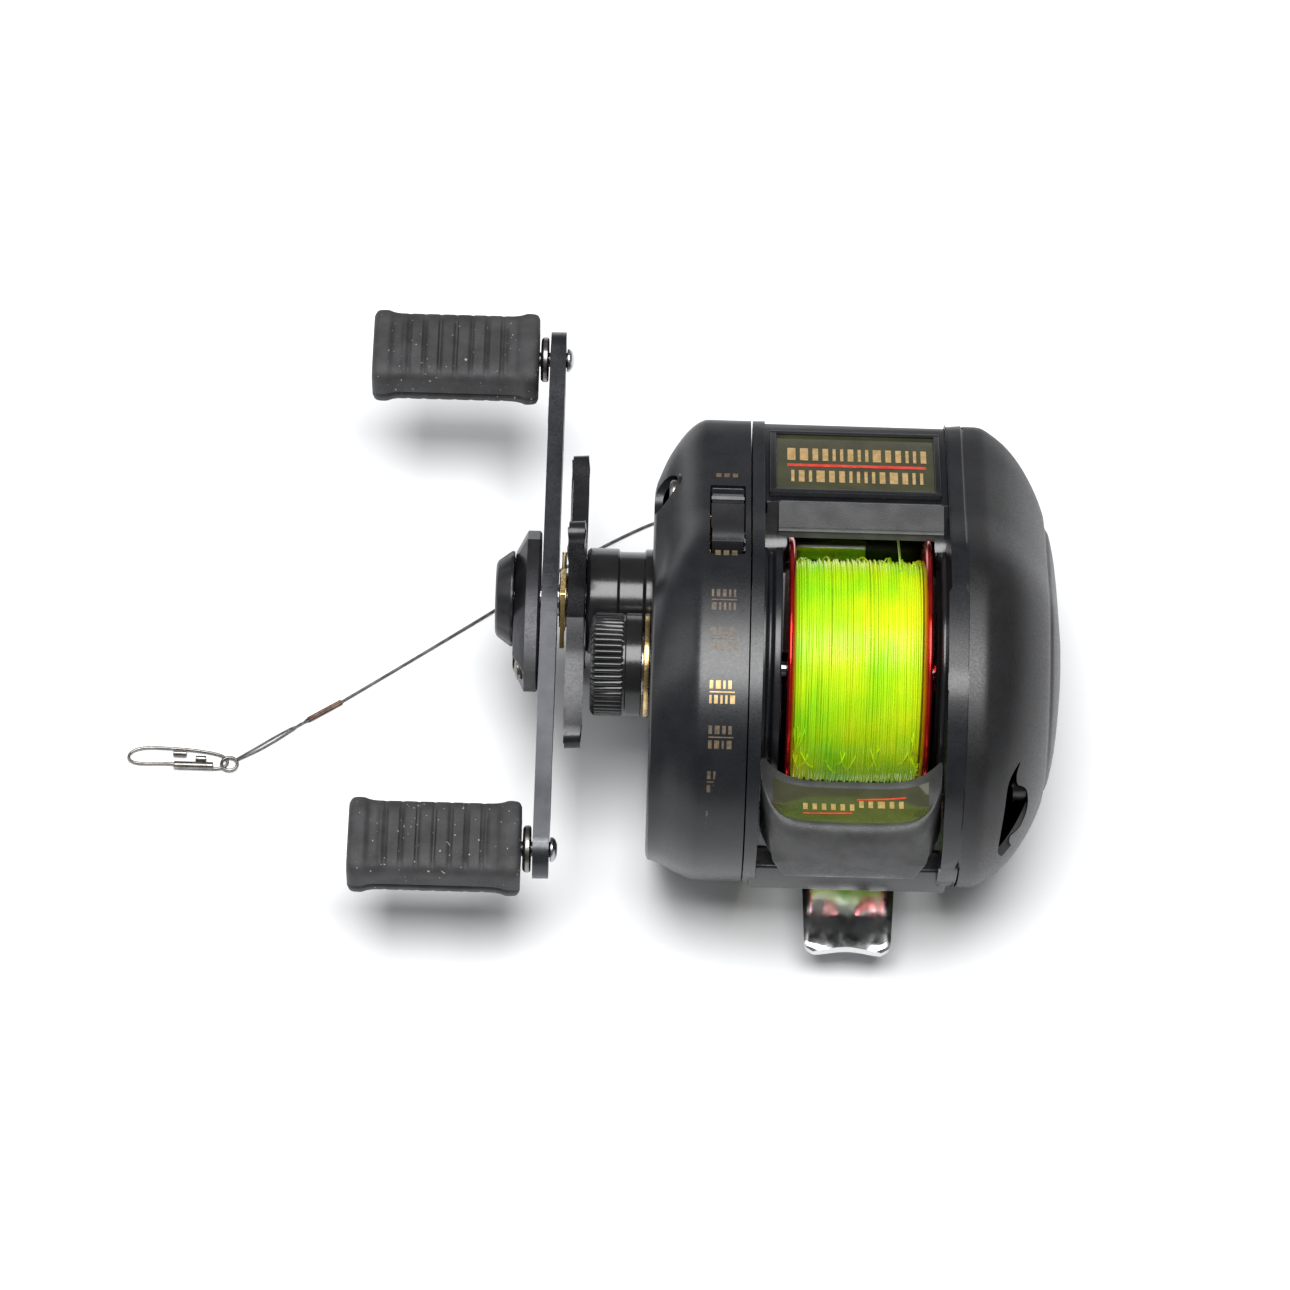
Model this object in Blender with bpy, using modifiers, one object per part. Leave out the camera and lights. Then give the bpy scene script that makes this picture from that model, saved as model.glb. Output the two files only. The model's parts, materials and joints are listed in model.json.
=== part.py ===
"""A low-profile baitcasting fishing reel, cranked from the left, with a wire leader and snap.

Lengths below are in millimetres, measured from the middle of the spool's axis:
X along that axis (plus to the palm side), Y to the front, Z up. MM turns them into metres.
"""

import math

import bmesh
import bpy
from mathutils import Matrix, Vector

MM = 0.001

# Driving dimensions
BASE_Z = -32.7            # what the reel stands on, below the spool's axis
PALM_X = 32.2             # outermost point of the palm side
KNOB_END_X = -79.2        # outer end of the knobs
FOOT_REAR_Y = -36.9       # rear tip of the reel foot
CRANK_Y = 15.5            # the drive shaft's axis
CRANK_Z = -6.7
ARM_HALF = 44.2           # from the drive shaft to each knob
ARM_TILT = math.radians(3.0)
KNOB_COLLAR_Y = 7.0       # half width of a knob's end collars
WORM_Y = 26.5             # the level wind's axis
WORM_Z = -6.0
FLANGE_R = 21.0           # the spool's flanges
FLANGE_X = 11.2
FLANGE_CLEAR_R = 21.8
WINDING_R = 17.1
PLATE_LEFT = (-17.1, -15.2)
PLATE_RIGHT = (13.6, 16.3)
BAR_LEFT = -16.2          # where the frame's bars end, inside its plates
BAR_RIGHT = 14.9
GAP = 0.3
MAIN_TEETH = 56
PINION_TEETH = 11
DRIVE_TEETH = 24
WORM_TEETH = 14
WIRE_R = 0.23
GUIDE_X = 6.4             # the line guide's middle, at rest
SLOPE = -16.5 / 34.7      # the front's fall towards the nose
SLOPE_START = (6.9, 24.5)
SWITCH_Y = 15.0           # the switch's middle, at rest
EYE_RISE = 8.2            # the line eye's middle, above the worm's axis

KNOB_REACH_Y = CRANK_Y + ARM_HALF * math.cos(ARM_TILT) + KNOB_COLLAR_Y
ORIGIN = Vector((
    -(KNOB_END_X + PALM_X) / 2,
    -(FOOT_REAR_Y + KNOB_REACH_Y) / 2,
    -BASE_Z,
)) * MM

# The side plates' outline, as (Y, Z), from the top of the slope round the nose
SIDE_POINTS = [
    (6.9, 24.5), (18.4, 19.0), (30.0, 13.5), (38.8, 9.3), (42.0, 6.6), (42.4, 1.5),
    (39.2, -9.0), (32.4, -20.0), (23.4, -28.6), (13.4, -32.7), (2.9, -32.7), (-7.6, -32.7),
    (-17.6, -30.3), (-25.6, -22.4), (-31.0, -13.0), (-33.2, -4.0), (-31.8, 6.0),
    (-25.6, 16.0), (-15.6, 22.6), (-3.6, 25.2),
]
SIDE_CENTRE = (4.4, -4.0)


def start_scene():
    for old in list(bpy.data.objects):
        bpy.data.objects.remove(old)
    made = {}
    for name in ("baitcasting_reel", "cutters"):
        made[name] = bpy.data.collections.new(name)
        bpy.context.scene.collection.children.link(made[name])
    made["cutters"].hide_render = True
    return made["baitcasting_reel"], made["cutters"]


PARTS, CUTTERS = start_scene()


def material(name, colour, roughness, metallic=0.0):
    made = bpy.data.materials.new(name)
    made.use_nodes = True
    shader = made.node_tree.nodes["Principled BSDF"]
    shader.inputs["Base Color"].default_value = (*colour, 1.0)
    shader.inputs["Roughness"].default_value = roughness
    shader.inputs["Metallic"].default_value = metallic
    made.diffuse_color = (*colour, 1.0)
    return made


BLACK = material("satin_black", (0.018, 0.019, 0.021), 0.32)
MATTE = material("matte_black", (0.03, 0.03, 0.032), 0.6)
CHROME = material("chrome", (0.75, 0.75, 0.76), 0.12, 1.0)
STEEL = material("steel", (0.55, 0.55, 0.56), 0.28, 1.0)
BRASS = material("brass", (0.62, 0.45, 0.2), 0.3, 1.0)
ARM_METAL = material("dark_arm", (0.16, 0.16, 0.17), 0.34, 1.0)
RED = material("red_anodised", (0.55, 0.03, 0.03), 0.25, 1.0)
LINE = material("yellow_line", (0.75, 0.85, 0.05), 0.45)
RUBBER = material("rubber", (0.035, 0.035, 0.037), 0.75)
SILVER = material("silver_print", (0.5, 0.5, 0.52), 0.35, 0.8)
CARBON = material("drag_fibre", (0.06, 0.06, 0.06), 0.8)
WIRE = material("coated_wire", (0.1, 0.1, 0.1), 0.4)
CRIMP = material("crimp", (0.2, 0.11, 0.06), 0.4, 0.8)


def holder(name, place=(0, 0, 0), parent=None):
    """An empty on a joint's axis, or on the spool's axis for what stays still."""
    empty = bpy.data.objects.new(name, None)
    PARTS.objects.link(empty)
    empty.parent = parent
    empty.location = Vector(place) * MM + (Vector() if parent else ORIGIN)
    return empty


REEL = holder("reel")
CRANK = holder("crank_axis", (0, CRANK_Y, CRANK_Z), REEL)
WORM = holder("worm_axis", (0, WORM_Y, WORM_Z), REEL)
SPOOL_AXIS = holder("spool_axis", (0, 0, 0), REEL)
ARM_END = (ARM_HALF * math.cos(ARM_TILT), ARM_HALF * math.sin(ARM_TILT))
KNOB_AXES = {
    "front": holder("knob_front_axis", (0, ARM_END[0], ARM_END[1]), CRANK),
    "rear": holder("knob_rear_axis", (0, -ARM_END[0], -ARM_END[1]), CRANK),
}


def place(obj, parent, look, cutter=False):
    (CUTTERS if cutter else PARTS).objects.link(obj)
    obj.parent = parent
    if look:
        obj.data.materials.append(look)
    if cutter:
        obj.hide_render = True
        obj.display_type = "WIRE"
    return obj


def mesh_object(name, work, parent, look, cutter):
    bmesh.ops.recalc_face_normals(work, faces=work.faces)
    mesh = bpy.data.meshes.new(name)
    work.to_mesh(mesh)
    work.free()
    return place(bpy.data.objects.new(name, mesh), parent, look, cutter)


def round_shaded(obj, angle=35):
    obj.data.shade_smooth()
    obj.data.set_sharp_from_angle(angle=math.radians(angle))
    return obj


def bevelled(obj, width, segments=1, angle=35):
    bevel = obj.modifiers.new("rounded", "BEVEL")
    bevel.width = width * MM
    bevel.segments = segments
    bevel.limit_method = "ANGLE"
    bevel.angle_limit = math.radians(angle)
    return obj


def turned(name, profile, parent, look, steps=24, along="X", at=(0, 0, 0), cutter=False):
    """A body turned about an axis. profile is (place along the axis, radius), outer side first."""
    mesh = bpy.data.meshes.new(name)
    points = [(radius * MM, 0, height * MM) for height, radius in profile]
    edges = [(i, i + 1) for i in range(len(points) - 1)]
    if profile[0][1] > 0:
        edges.append((len(points) - 1, 0))
    mesh.from_pydata(points, edges, [])
    obj = place(bpy.data.objects.new(name, mesh), parent, look, cutter)
    turns = {"X": (0, math.pi / 2, 0), "Y": (-math.pi / 2, 0, 0), "Z": (0, 0, 0)}
    obj.rotation_euler = turns[along]
    obj.location = Vector(at) * MM
    screw = obj.modifiers.new("turned", "SCREW")
    screw.steps = steps
    screw.render_steps = steps
    screw.use_merge_vertices = True
    screw.merge_threshold = 0.00001
    screw.use_smooth_shade = True
    return obj


def ring_profile(x_low, x_high, outer, inner=0.0, chamfer=0.0):
    """A straight ring, or a disc where inner is 0, with its outer edges chamfered."""
    outside = [
        (x_high, outer - chamfer), (x_high - chamfer, outer),
        (x_low + chamfer, outer), (x_low, outer - chamfer),
    ]
    if not chamfer:
        outside = [(x_high, outer), (x_low, outer)]
    return [(x_high, inner)] * (inner == 0) + outside + [(x_low, inner)] + (
        [(x_high, inner)] * (inner > 0)
    )


def ring(name, x_low, x_high, outer, inner, parent, look, **more):
    chamfer = more.pop("chamfer", 0.0)
    return turned(name, ring_profile(x_low, x_high, outer, inner, chamfer), parent, look, **more)


def circle(radius, centre=(0, 0), count=24):
    turns = [2 * math.pi * i / count for i in range(count)]
    return [(centre[0] + radius * math.cos(t), centre[1] + radius * math.sin(t)) for t in turns]


def prism(name, outlines, low, high, parent, look, plane="YZ", cutter=False):
    """Flat outlines, holes after the outside, given thickness from low to high across their plane."""
    curve = bpy.data.curves.new(name, "CURVE")
    curve.dimensions = "2D"
    curve.fill_mode = "BOTH"
    curve.extrude = (high - low) / 2 * MM
    for outline in outlines:
        spline = curve.splines.new("POLY")
        spline.points.add(len(outline) - 1)
        for point, (a, b) in zip(spline.points, outline):
            point.co = (a * MM, b * MM, 0, 1)
        spline.use_cyclic_u = True
    guide = bpy.data.objects.new(name + "_outline", curve)
    bpy.context.scene.collection.objects.link(guide)
    graph = bpy.context.evaluated_depsgraph_get()
    mesh = bpy.data.meshes.new_from_object(guide.evaluated_get(graph))
    bpy.data.objects.remove(guide)
    mesh.name = name
    work = bmesh.new()
    work.from_mesh(mesh)
    bmesh.ops.remove_doubles(work, verts=work.verts, dist=1e-6)
    bmesh.ops.dissolve_limit(work, angle_limit=0.002, verts=work.verts, edges=work.edges)
    bmesh.ops.recalc_face_normals(work, faces=work.faces)
    work.to_mesh(mesh)
    work.free()
    obj = place(bpy.data.objects.new(name, mesh), parent, look, cutter)
    middle = (low + high) / 2 * MM
    if plane == "YZ":
        obj.rotation_euler = (math.pi / 2, 0, math.pi / 2)
        obj.location = (middle, 0, 0)
    else:
        obj.location = (0, 0, middle)
    return obj


def box(name, low, high, parent, look=None, cutter=False):
    work = bmesh.new()
    bmesh.ops.create_cube(work, size=1)
    size = Vector(high) - Vector(low)
    bmesh.ops.scale(work, vec=size * MM, verts=work.verts)
    obj = mesh_object(name, work, parent, look, cutter)
    obj.location = (Vector(low) + size / 2) * MM
    return obj


def lofted(name, sections, parent, look, closed_ends=(True, True), cutter=False):
    """Faces between outlines of the same count: a form that changes along its length."""
    work = bmesh.new()
    rows = [[work.verts.new(Vector(p) * MM) for p in section] for section in sections]
    for row, after in zip(rows, rows[1:]):
        for i in range(len(row)):
            j = (i + 1) % len(row)
            work.faces.new((row[i], row[j], after[j], after[i]))
    for row, closed in zip((rows[0], rows[-1]), closed_ends):
        if closed:
            work.faces.new(row)
    return mesh_object(name, work, parent, look, cutter)


def boolean(target, other, operation):
    step = target.modifiers.new(other.name, "BOOLEAN")
    step.operation = operation
    step.object = other
    return target


def cut(target, *others):
    for other in others:
        boolean(target, other, "DIFFERENCE")
    return target


def join(target, *others):
    for other in others:
        boolean(target, other, "UNION")
    return target


def tube(name, points, radius, parent, look, cyclic=False):
    curve = bpy.data.curves.new(name, "CURVE")
    curve.dimensions = "3D"
    curve.bevel_depth = radius * MM
    curve.bevel_resolution = 2
    curve.use_fill_caps = not cyclic
    spline = curve.splines.new("POLY")
    spline.points.add(len(points) - 1)
    for point, where in zip(spline.points, points):
        point.co = (*(Vector(where) * MM), 1)
    spline.use_cyclic_u = cyclic
    return place(bpy.data.objects.new(name, curve), parent, look)


def smooth_path(points, spacing, cyclic=False):
    """A smooth curve through the given points, read off at an even spacing."""
    count = len(points)
    spans = count if cyclic else count - 1

    def at(i):
        return Vector(points[i % count] if cyclic else points[min(max(i, 0), count - 1)])

    fine = []
    for i in range(spans):
        a, b, c, d = at(i - 1), at(i), at(i + 1), at(i + 2)
        for k in range(24):
            t = k / 24
            fine.append(
                0.5 * (2 * b + (c - a) * t + (2 * a - 5 * b + 4 * c - d) * t * t
                       + (3 * b - a - 3 * c + d) * t ** 3)
            )
    fine.append(at(0) if cyclic else at(count - 1))
    lengths = [0.0]
    for a, b in zip(fine, fine[1:]):
        lengths.append(lengths[-1] + (b - a).length)
    steps = max(2, round(lengths[-1] / spacing))
    even = []
    index = 0
    for k in range(steps if cyclic else steps + 1):
        target = lengths[-1] * k / steps
        while index < len(fine) - 2 and lengths[index + 1] < target:
            index += 1
        share = (target - lengths[index]) / max(lengths[index + 1] - lengths[index], 1e-9)
        even.append(fine[index].lerp(fine[index + 1], min(share, 1.0)))
    return even


def side_outline(scale=1.0, spacing=5.2):
    """The side plates' outline, shrunk towards its middle, with its foot kept flat."""
    cy, cz = SIDE_CENTRE
    path = smooth_path([(y, z, 0) for y, z in SIDE_POINTS], spacing, cyclic=True)
    low = sorted(y for y, z, _ in path if z <= BASE_Z + 0.02)
    found = []
    for y, z, _ in path:
        if low[0] < y < low[-1] and z < BASE_Z + 1:
            continue
        found.append((cy + (y - cy) * scale, cz + (max(z, BASE_Z) - cz) * scale))
    return found


def slope_z(y, below=0.0):
    return SLOPE_START[1] + SLOPE * (y - SLOPE_START[0]) - below


def gear_outline(teeth, module, tooth_angle):
    """Straight-flanked teeth with running backlash. tooth_angle is where one tooth points."""
    pitch = 2 * math.pi / teeth
    middle = module * teeth / 2
    root, tip = middle - 1.15 * module, middle + 0.75 * module
    found = []
    for i in range(teeth):
        centre = tooth_angle + i * pitch
        for share, radius in ((-0.27, root), (-0.1, tip), (0.1, tip), (0.27, root)):
            turn = centre + share * pitch
            found.append((radius * math.cos(turn), radius * math.sin(turn)))
    return found


# Frame -----------------------------------------------------------------------

def make_frame():
    side = side_outline()
    left_holes = [
        circle(5.3), circle(3.3, (CRANK_Y, CRANK_Z), 20), circle(2.3, (WORM_Y, WORM_Z), 16),
    ]
    frame = prism("frame", [side] + left_holes, *PLATE_LEFT, REEL, BLACK)
    right = prism("frame_right_ring", [side, circle(21.5, count=40)], *PLATE_RIGHT, REEL, None,
                  cutter=True)
    clear = ring("spool_clearance", -14.6, 17.0, FLANGE_CLEAR_R, 0, REEL, None, steps=40, cutter=True)
    disc = ring("frame_left_disc", -16.0, -12.2, FLANGE_R, 6.2, REEL, None, steps=36, cutter=True)
    lower = box("frame_lower_bar", (BAR_LEFT, -13, -22.7), (BAR_RIGHT, 13, -17.5), REEL, cutter=True)
    cut(lower, clear)
    rear = prism("frame_rear_bar", [[(-31.6, -14.5), (-28.6, -15.5), (-28.4, -6.6), (-32.0, -6.6)]],
                 BAR_LEFT, BAR_RIGHT, REEL, None, cutter=True)
    front = prism("frame_front_bar", [[(27.6, -17), (31.4, -17), (33.4, -13.4), (27.6, -13.4)]],
                  BAR_LEFT, BAR_RIGHT, REEL, None, cutter=True)
    hood_outline = [
        (14.4, 16.6), (19.0, 16.6), (20.4, slope_z(20.4, 1.4)), (40.4, slope_z(40.4, 1.4)),
        (41.9, 6.2), (42.2, 3.0), (40.8, 2.8), (40.4, 5.2), (39.0, slope_z(39.0, 3.0)),
        (21.6, slope_z(21.6, 3.2)), (20.4, 13.0), (17.2, 13.6),
    ]
    hood = prism("frame_hood", [hood_outline], BAR_LEFT, BAR_RIGHT, REEL, None, cutter=True)
    join(frame, right, disc, lower, rear, front, hood)
    for y in (-9.0, 9.0):
        hole = ring("rivet_hole", -30, -15, 1.6, 0, REEL, None, steps=16, along="Z", at=(0, y, 0),
                    cutter=True)
        cut(frame, hole)
    return frame


def make_foot():
    half, tip = 7.75, 6.8
    front_y, rear_y = 23.5, FOOT_REAR_Y
    right = [
        (tip - 1.6, front_y), (tip - 0.3, front_y - 0.8), (tip, front_y - 2.4),
        (half - 0.3, 12), (half, 9), (half, -14), (half - 0.1, -20),
        (tip + 0.5, rear_y + 6), (tip, rear_y + 2.4), (tip - 0.5, rear_y + 0.7), (tip - 1.8, rear_y),
    ]
    outline = right + [(-x, y) for x, y in reversed(right)]
    holes = [circle(1.6, (0, y), 16) for y in (-9.0, 9.0)]
    foot = prism("reel_foot", [outline] + holes, -25.0, -23.0, REEL, CHROME, plane="XY")
    bevelled(foot, 0.5)
    for name, y in (("front", 9.0), ("rear", -9.0)):
        profile = [
            (-22.2, 0), (-22.2, 1.3), (-24.3, 1.3), (-24.6, 1.5), (-24.9, 1.5), (-24.9, 0),
        ]
        turned("foot_rivet_" + name, profile, REEL, STEEL, steps=14, along="Z", at=(0, y, 0))


def make_front_trim():
    bar = [(14.6, 16.9), (14.2, 17.5), (14.8, 18.4), (19.4, 18.5), (20.3, 17.7), (20.2, 17.0)]
    cover = prism("front_bar_cover", [bar], -13.4, 13.2, REEL, MATTE)
    bevelled(cover, 0.3)
    plate = [
        (23.4, slope_z(23.4, 1.1)), (23.4, slope_z(23.4, 0.1)),
        (38.0, slope_z(38.0, 0.1)), (38.0, slope_z(38.0, 1.1)),
    ]
    bevelled(prism("nameplate", [plate], -14.3, 12.6, REEL, SILVER), 0.2)


# Side covers -----------------------------------------------------------------

def section_at(x, scale, shift=0.0):
    """The side outline at X, shrunk, and moved along Y to lean its end face towards the rear."""
    return [(x, y + shift, z) for y, z in side_outline(scale)]


def shell(name, stations, look):
    """A cover of even wall, open towards the frame, through (X, scale, shift) stations."""
    cover = lofted(name, [section_at(*station) for station in stations], REEL, look, (False, True))
    wall = cover.modifiers.new("wall", "SOLIDIFY")
    wall.thickness = 1.3 * MM
    wall.offset = -1
    wall.use_even_offset = False
    return round_shaded(cover, 24)


# Each cover screw: (Y, Z, X of the seat under its head)
SCREW_PLACES = {"front": (26.0, 9.6, -28.8), "rear": (-20.1, -3.0, -30.9)}
SPRING_PLACES = {"front": (-4.0, 12.0), "rear": (-6.5, -12.0)}


def make_handle_side_cover():
    stations = [
        (-17.4, 1.0), (-24.6, 1.0), (-27.4, 0.96, -0.5), (-30.2, 0.885, -1.9), (-32.4, 0.80, -4.2),
    ]
    cover = shell("handle_side_cover", stations, BLACK)
    crank_at = (0, CRANK_Y, CRANK_Z)
    boss = turned("crank_boss", [
        (-31.6, 8.5), (-33.6, 8.5), (-33.8, 8.0), (-37.8, 8.0), (-37.8, 8.5), (-42.5, 8.5),
        (-43.0, 8.0), (-43.0, 6.3), (-31.6, 6.3),
    ], REEL, None, steps=24, at=crank_at, cutter=True)
    boss_bore = ring("crank_bore", -45, -29, 6.3, 0, REEL, None, steps=24, at=crank_at, cutter=True)
    neck = ring("cap_neck", -39.5, -31.8, 5.0, 2.0, REEL, None, steps=18, cutter=True)
    neck_bore = ring("neck_bore", -37.5, -29, 3.0, 0, REEL, None, steps=14, cutter=True)
    posts = []
    for y, z, seat in SCREW_PLACES.values():
        posts.append(ring("screw_post", seat - 0.9, -18.2, 3.3, 0, REEL, None, steps=14, at=(0, y, z),
                          cutter=True))
    for y, z in SPRING_PLACES.values():
        posts.append(ring("spring_post", -31.6, -18.2, 0.9, 0, REEL, None, steps=10, at=(0, y, z),
                          cutter=True))
    join(cover, boss, neck, *posts)
    cut(cover, boss_bore, neck_bore)
    for y, z, seat in SCREW_PLACES.values():
        cut(cover, turned("screw_pocket", [
            (-16, 0), (-16, 1.4), (seat, 1.4), (seat, 2.7), (-36, 2.7), (-36, 0),
        ], REEL, None, steps=12, at=(0, y, z), cutter=True))
    slot = box("switch_slot", (-23.8, -9.6, -3), (-18.2, 9.6, 3), REEL, cutter=True)
    slot.location = Vector((-21.0, SWITCH_Y, slope_z(SWITCH_Y))) * MM
    slot.rotation_euler.x = math.atan(SLOPE)
    cut(cover, slot)
    return cover


def make_switch():
    """A slider in the cover's rim, with a thumb dish behind and ridges before it."""
    outline = [(-7.5, -1.5), (7.5, -1.5), (7.5, 0.5)]
    for i in range(4):
        middle = 6.0 - 2.0 * i
        outline += [(middle + 0.4, 1.1), (middle - 0.4, 1.1), (middle - 1.0, 0.5)]
    outline += [(-4.0, 0.0), (-6.2, 0.2), (-7.5, 0.8)]
    switch = prism("ar_switch", [outline], -23.5, -18.5, REEL, BLACK)
    tilt = Matrix.Rotation(math.atan(SLOPE), 3, "X")
    switch.rotation_euler = (tilt @ switch.rotation_euler.to_matrix()).to_euler()
    switch.location = Vector((-21.0, SWITCH_Y, slope_z(SWITCH_Y))) * MM
    return switch


def make_palm_side():
    stations = [
        (16.6, 1.0), (20.2, 0.985), (23.6, 0.915), (26.6, 0.81), (29.2, 0.665), (31.2, 0.47),
        (PALM_X, 0.24),
    ]
    cover = shell("palm_side_cover", stations, MATTE)
    slot = box("lever_slot", (23.6, -42, -3.5), (27.4, -16, 10.5), REEL, cutter=True)
    cut(cover, slot)
    turned("palm_inner_plate", [
        (28.0, 6.0), (15.6, 6.0), (15.6, 20.6), (15.2, FLANGE_R), (12.6, FLANGE_R), (12.2, 20.6),
        (12.2, 2.0), (17.0, 2.0), (17.0, 5.3), (28.0, 5.3),
    ], REEL, BLACK, steps=28)
    ring("brake_ring", 15.9, 18.4, 17.0, 13.6, REEL, STEEL, steps=20)
    ring("spool_bearing_palm", 17.3, 19.8, 5.0, 1.5, REEL, STEEL, steps=16)
    ring("spool_bearing_handle", -17.0, -14.6, 5.0, 1.5, REEL, STEEL, steps=16)
    lever = ring("brake_lever", 24.4, 26.6, 8.6, 6.3, REEL, MATTE, steps=28)
    arm_outline = [(-7.2, -1.6), (-7.2, 3.4), (-25.4, 5.5), (-28.0, 6.1), (-29.4, 4.9), (-28.8, 1.5),
                   (-25.8, 0.5)]
    arm = prism("lever_arm", [arm_outline], 24.5, 26.5, REEL, None, cutter=True)
    join(lever, arm)


def make_cover_fittings():
    for name, (y, z, seat) in SCREW_PLACES.items():
        turned("cover_screw_" + name, [
            (-19.0, 0), (-19.0, 1.0), (seat - 0.3, 1.0), (seat - 0.3, 2.3), (seat - 1.1, 2.3),
            (seat - 1.5, 1.7), (seat - 1.5, 0),
        ], REEL, STEEL, steps=12, at=(0, y, z))
    ring("brass_ring", -33.5, -32.75, 8.2, 5.3, REEL, BRASS, steps=24)
    crank_at = (0, CRANK_Y, CRANK_Z)
    ring("one_way_bearing", -41.6, -33.6, 6.0, 4.3, REEL, STEEL, steps=18, at=crank_at)
    ring("shaft_bearing", -33.2, -30.6, 6.0, 2.9, REEL, STEEL, steps=18, at=crank_at)
    for name, (y, z) in SPRING_PLACES.items():
        turns, low, high, radius = 5, -30.4, -21.9, 1.7
        count = turns * 7
        points = []
        for i in range(count + 1):
            turn = 2 * math.pi * i / 7
            x = low + (high - low) * i / count
            points.append((x, y + radius * math.cos(turn), z + radius * math.sin(turn)))
        tube("yoke_spring_" + name, points, 0.2, REEL, STEEL)


def make_cap():
    cap = turned("cast_control_cap", [
        (-33.8, 5.4), (-33.8, 8.0), (-34.1, 8.2), (-36.4, 8.2), (-36.7, 7.9), (-41.3, 7.9),
        (-41.9, 7.3), (-41.9, 0), (-40.0, 0), (-40.0, 5.4),
    ], SPOOL_AXIS, BLACK)
    return cap


# Crank and drag --------------------------------------------------------------

TRAIN_ANGLE = math.atan2(-CRANK_Z, -CRANK_Y)          # from the crank to the spool
MAIN_MODULE = 2 * math.hypot(CRANK_Y, CRANK_Z) / (MAIN_TEETH + PINION_TEETH)
WORM_ANGLE = math.atan2(WORM_Z - CRANK_Z, WORM_Y - CRANK_Y)
WORM_MODULE = 2 * math.hypot(WORM_Y - CRANK_Y, WORM_Z - CRANK_Z) / (DRIVE_TEETH + WORM_TEETH)


def make_crank():
    turned("drive_shaft", [
        (-17.4, 0), (-17.4, 4.0), (-18.4, 4.0), (-18.4, 2.6), (-56.2, 2.6), (-56.5, 2.3), (-56.5, 0),
    ], CRANK, STEEL, steps=18)
    bore = circle(2.9, count=20)
    ratchet = []
    for i in range(18):
        for share, radius in ((0.0, 9.0), (0.1, 7.6), (0.9, 8.2)):
            turn = 2 * math.pi * (i + share) / 18
            ratchet.append((radius * math.cos(turn), radius * math.sin(turn)))
    prism("ratchet_wheel", [ratchet, bore], -20.0, -19.0, CRANK, STEEL)
    drive = gear_outline(DRIVE_TEETH, WORM_MODULE, WORM_ANGLE)
    prism("levelwind_drive_gear", [drive, bore], -22.4, -20.8, CRANK, BRASS)
    main = gear_outline(MAIN_TEETH, MAIN_MODULE, TRAIN_ANGLE)
    prism("main_gear", [main, bore], -26.6, -23.4, CRANK, BRASS)
    ring("drag_washer", -28.0, -26.9, 11.5, 2.9, CRANK, CARBON)
    ring("pressure_plate", -29.4, -28.3, 10.8, 2.9, CRANK, STEEL)
    ring("clutch_sleeve", -42.8, -33.6, 4.0, 2.9, CRANK, STEEL, steps=18)
    ring("spacer_sleeve", -47.3, -46.1, 4.4, 2.9, CRANK, BRASS, steps=18)
    washer = [(-8.6, 0), (-5.2, 4.4), (-2.2, 6.4), (2.2, 6.4), (5.2, 4.4), (8.6, 0),
              (5.2, -4.4), (2.2, -6.4), (-2.2, -6.4), (-5.2, -4.4)]
    prism("spring_washer", [washer, circle(4.7, count=20)], -47.0, -46.4, CRANK, BLACK)


def make_star():
    outline = []
    for arm in range(4):
        middle = math.radians(4.4 + 90 * arm)
        edge = [(9.0, 4.6), (11.5, 3.4), (16.0, 2.6), (23.0, 2.0)]
        tip = [(24.0 + 1.9 * math.cos(t), 1.9 * math.sin(t)) for t in (1.2, 0.6, 0.0, -0.6, -1.2)]
        for along, across in [(a, -b) for a, b in edge] + tip[::-1] + edge[::-1]:
            outline.append((
                along * math.cos(middle) - across * math.sin(middle),
                along * math.sin(middle) + across * math.cos(middle),
            ))
        hub = middle + math.pi / 4
        outline.append((8.3 * math.cos(hub), 8.3 * math.sin(hub)))
    star = prism("star_drag", [outline, circle(2.9, count=20)], -45.8, -43.3, CRANK, BLACK)
    return bevelled(star, 0.5)


def arm_outline():
    """A long blade, widest at the drive shaft, with round ends."""
    across, end_r, count = 7.0, 4.6, 5
    upper = []
    for i in range(-count, count + 1):
        along = ARM_HALF * i / count
        share = max(0.0, 1 - abs(along) / 36)
        upper.append((along, end_r + (across - end_r) * share ** 1.3))
    front = [(ARM_HALF + end_r * math.cos(t), end_r * math.sin(t))
             for t in (1.1, 0.55, 0.0, -0.55, -1.1)]
    blade = upper + front + [(a, -b) for a, b in reversed(upper)] + [(-a, -b) for a, b in front]
    c, s = math.cos(ARM_TILT), math.sin(ARM_TILT)
    return [(a * c - b * s, a * s + b * c) for a, b in blade]


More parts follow.
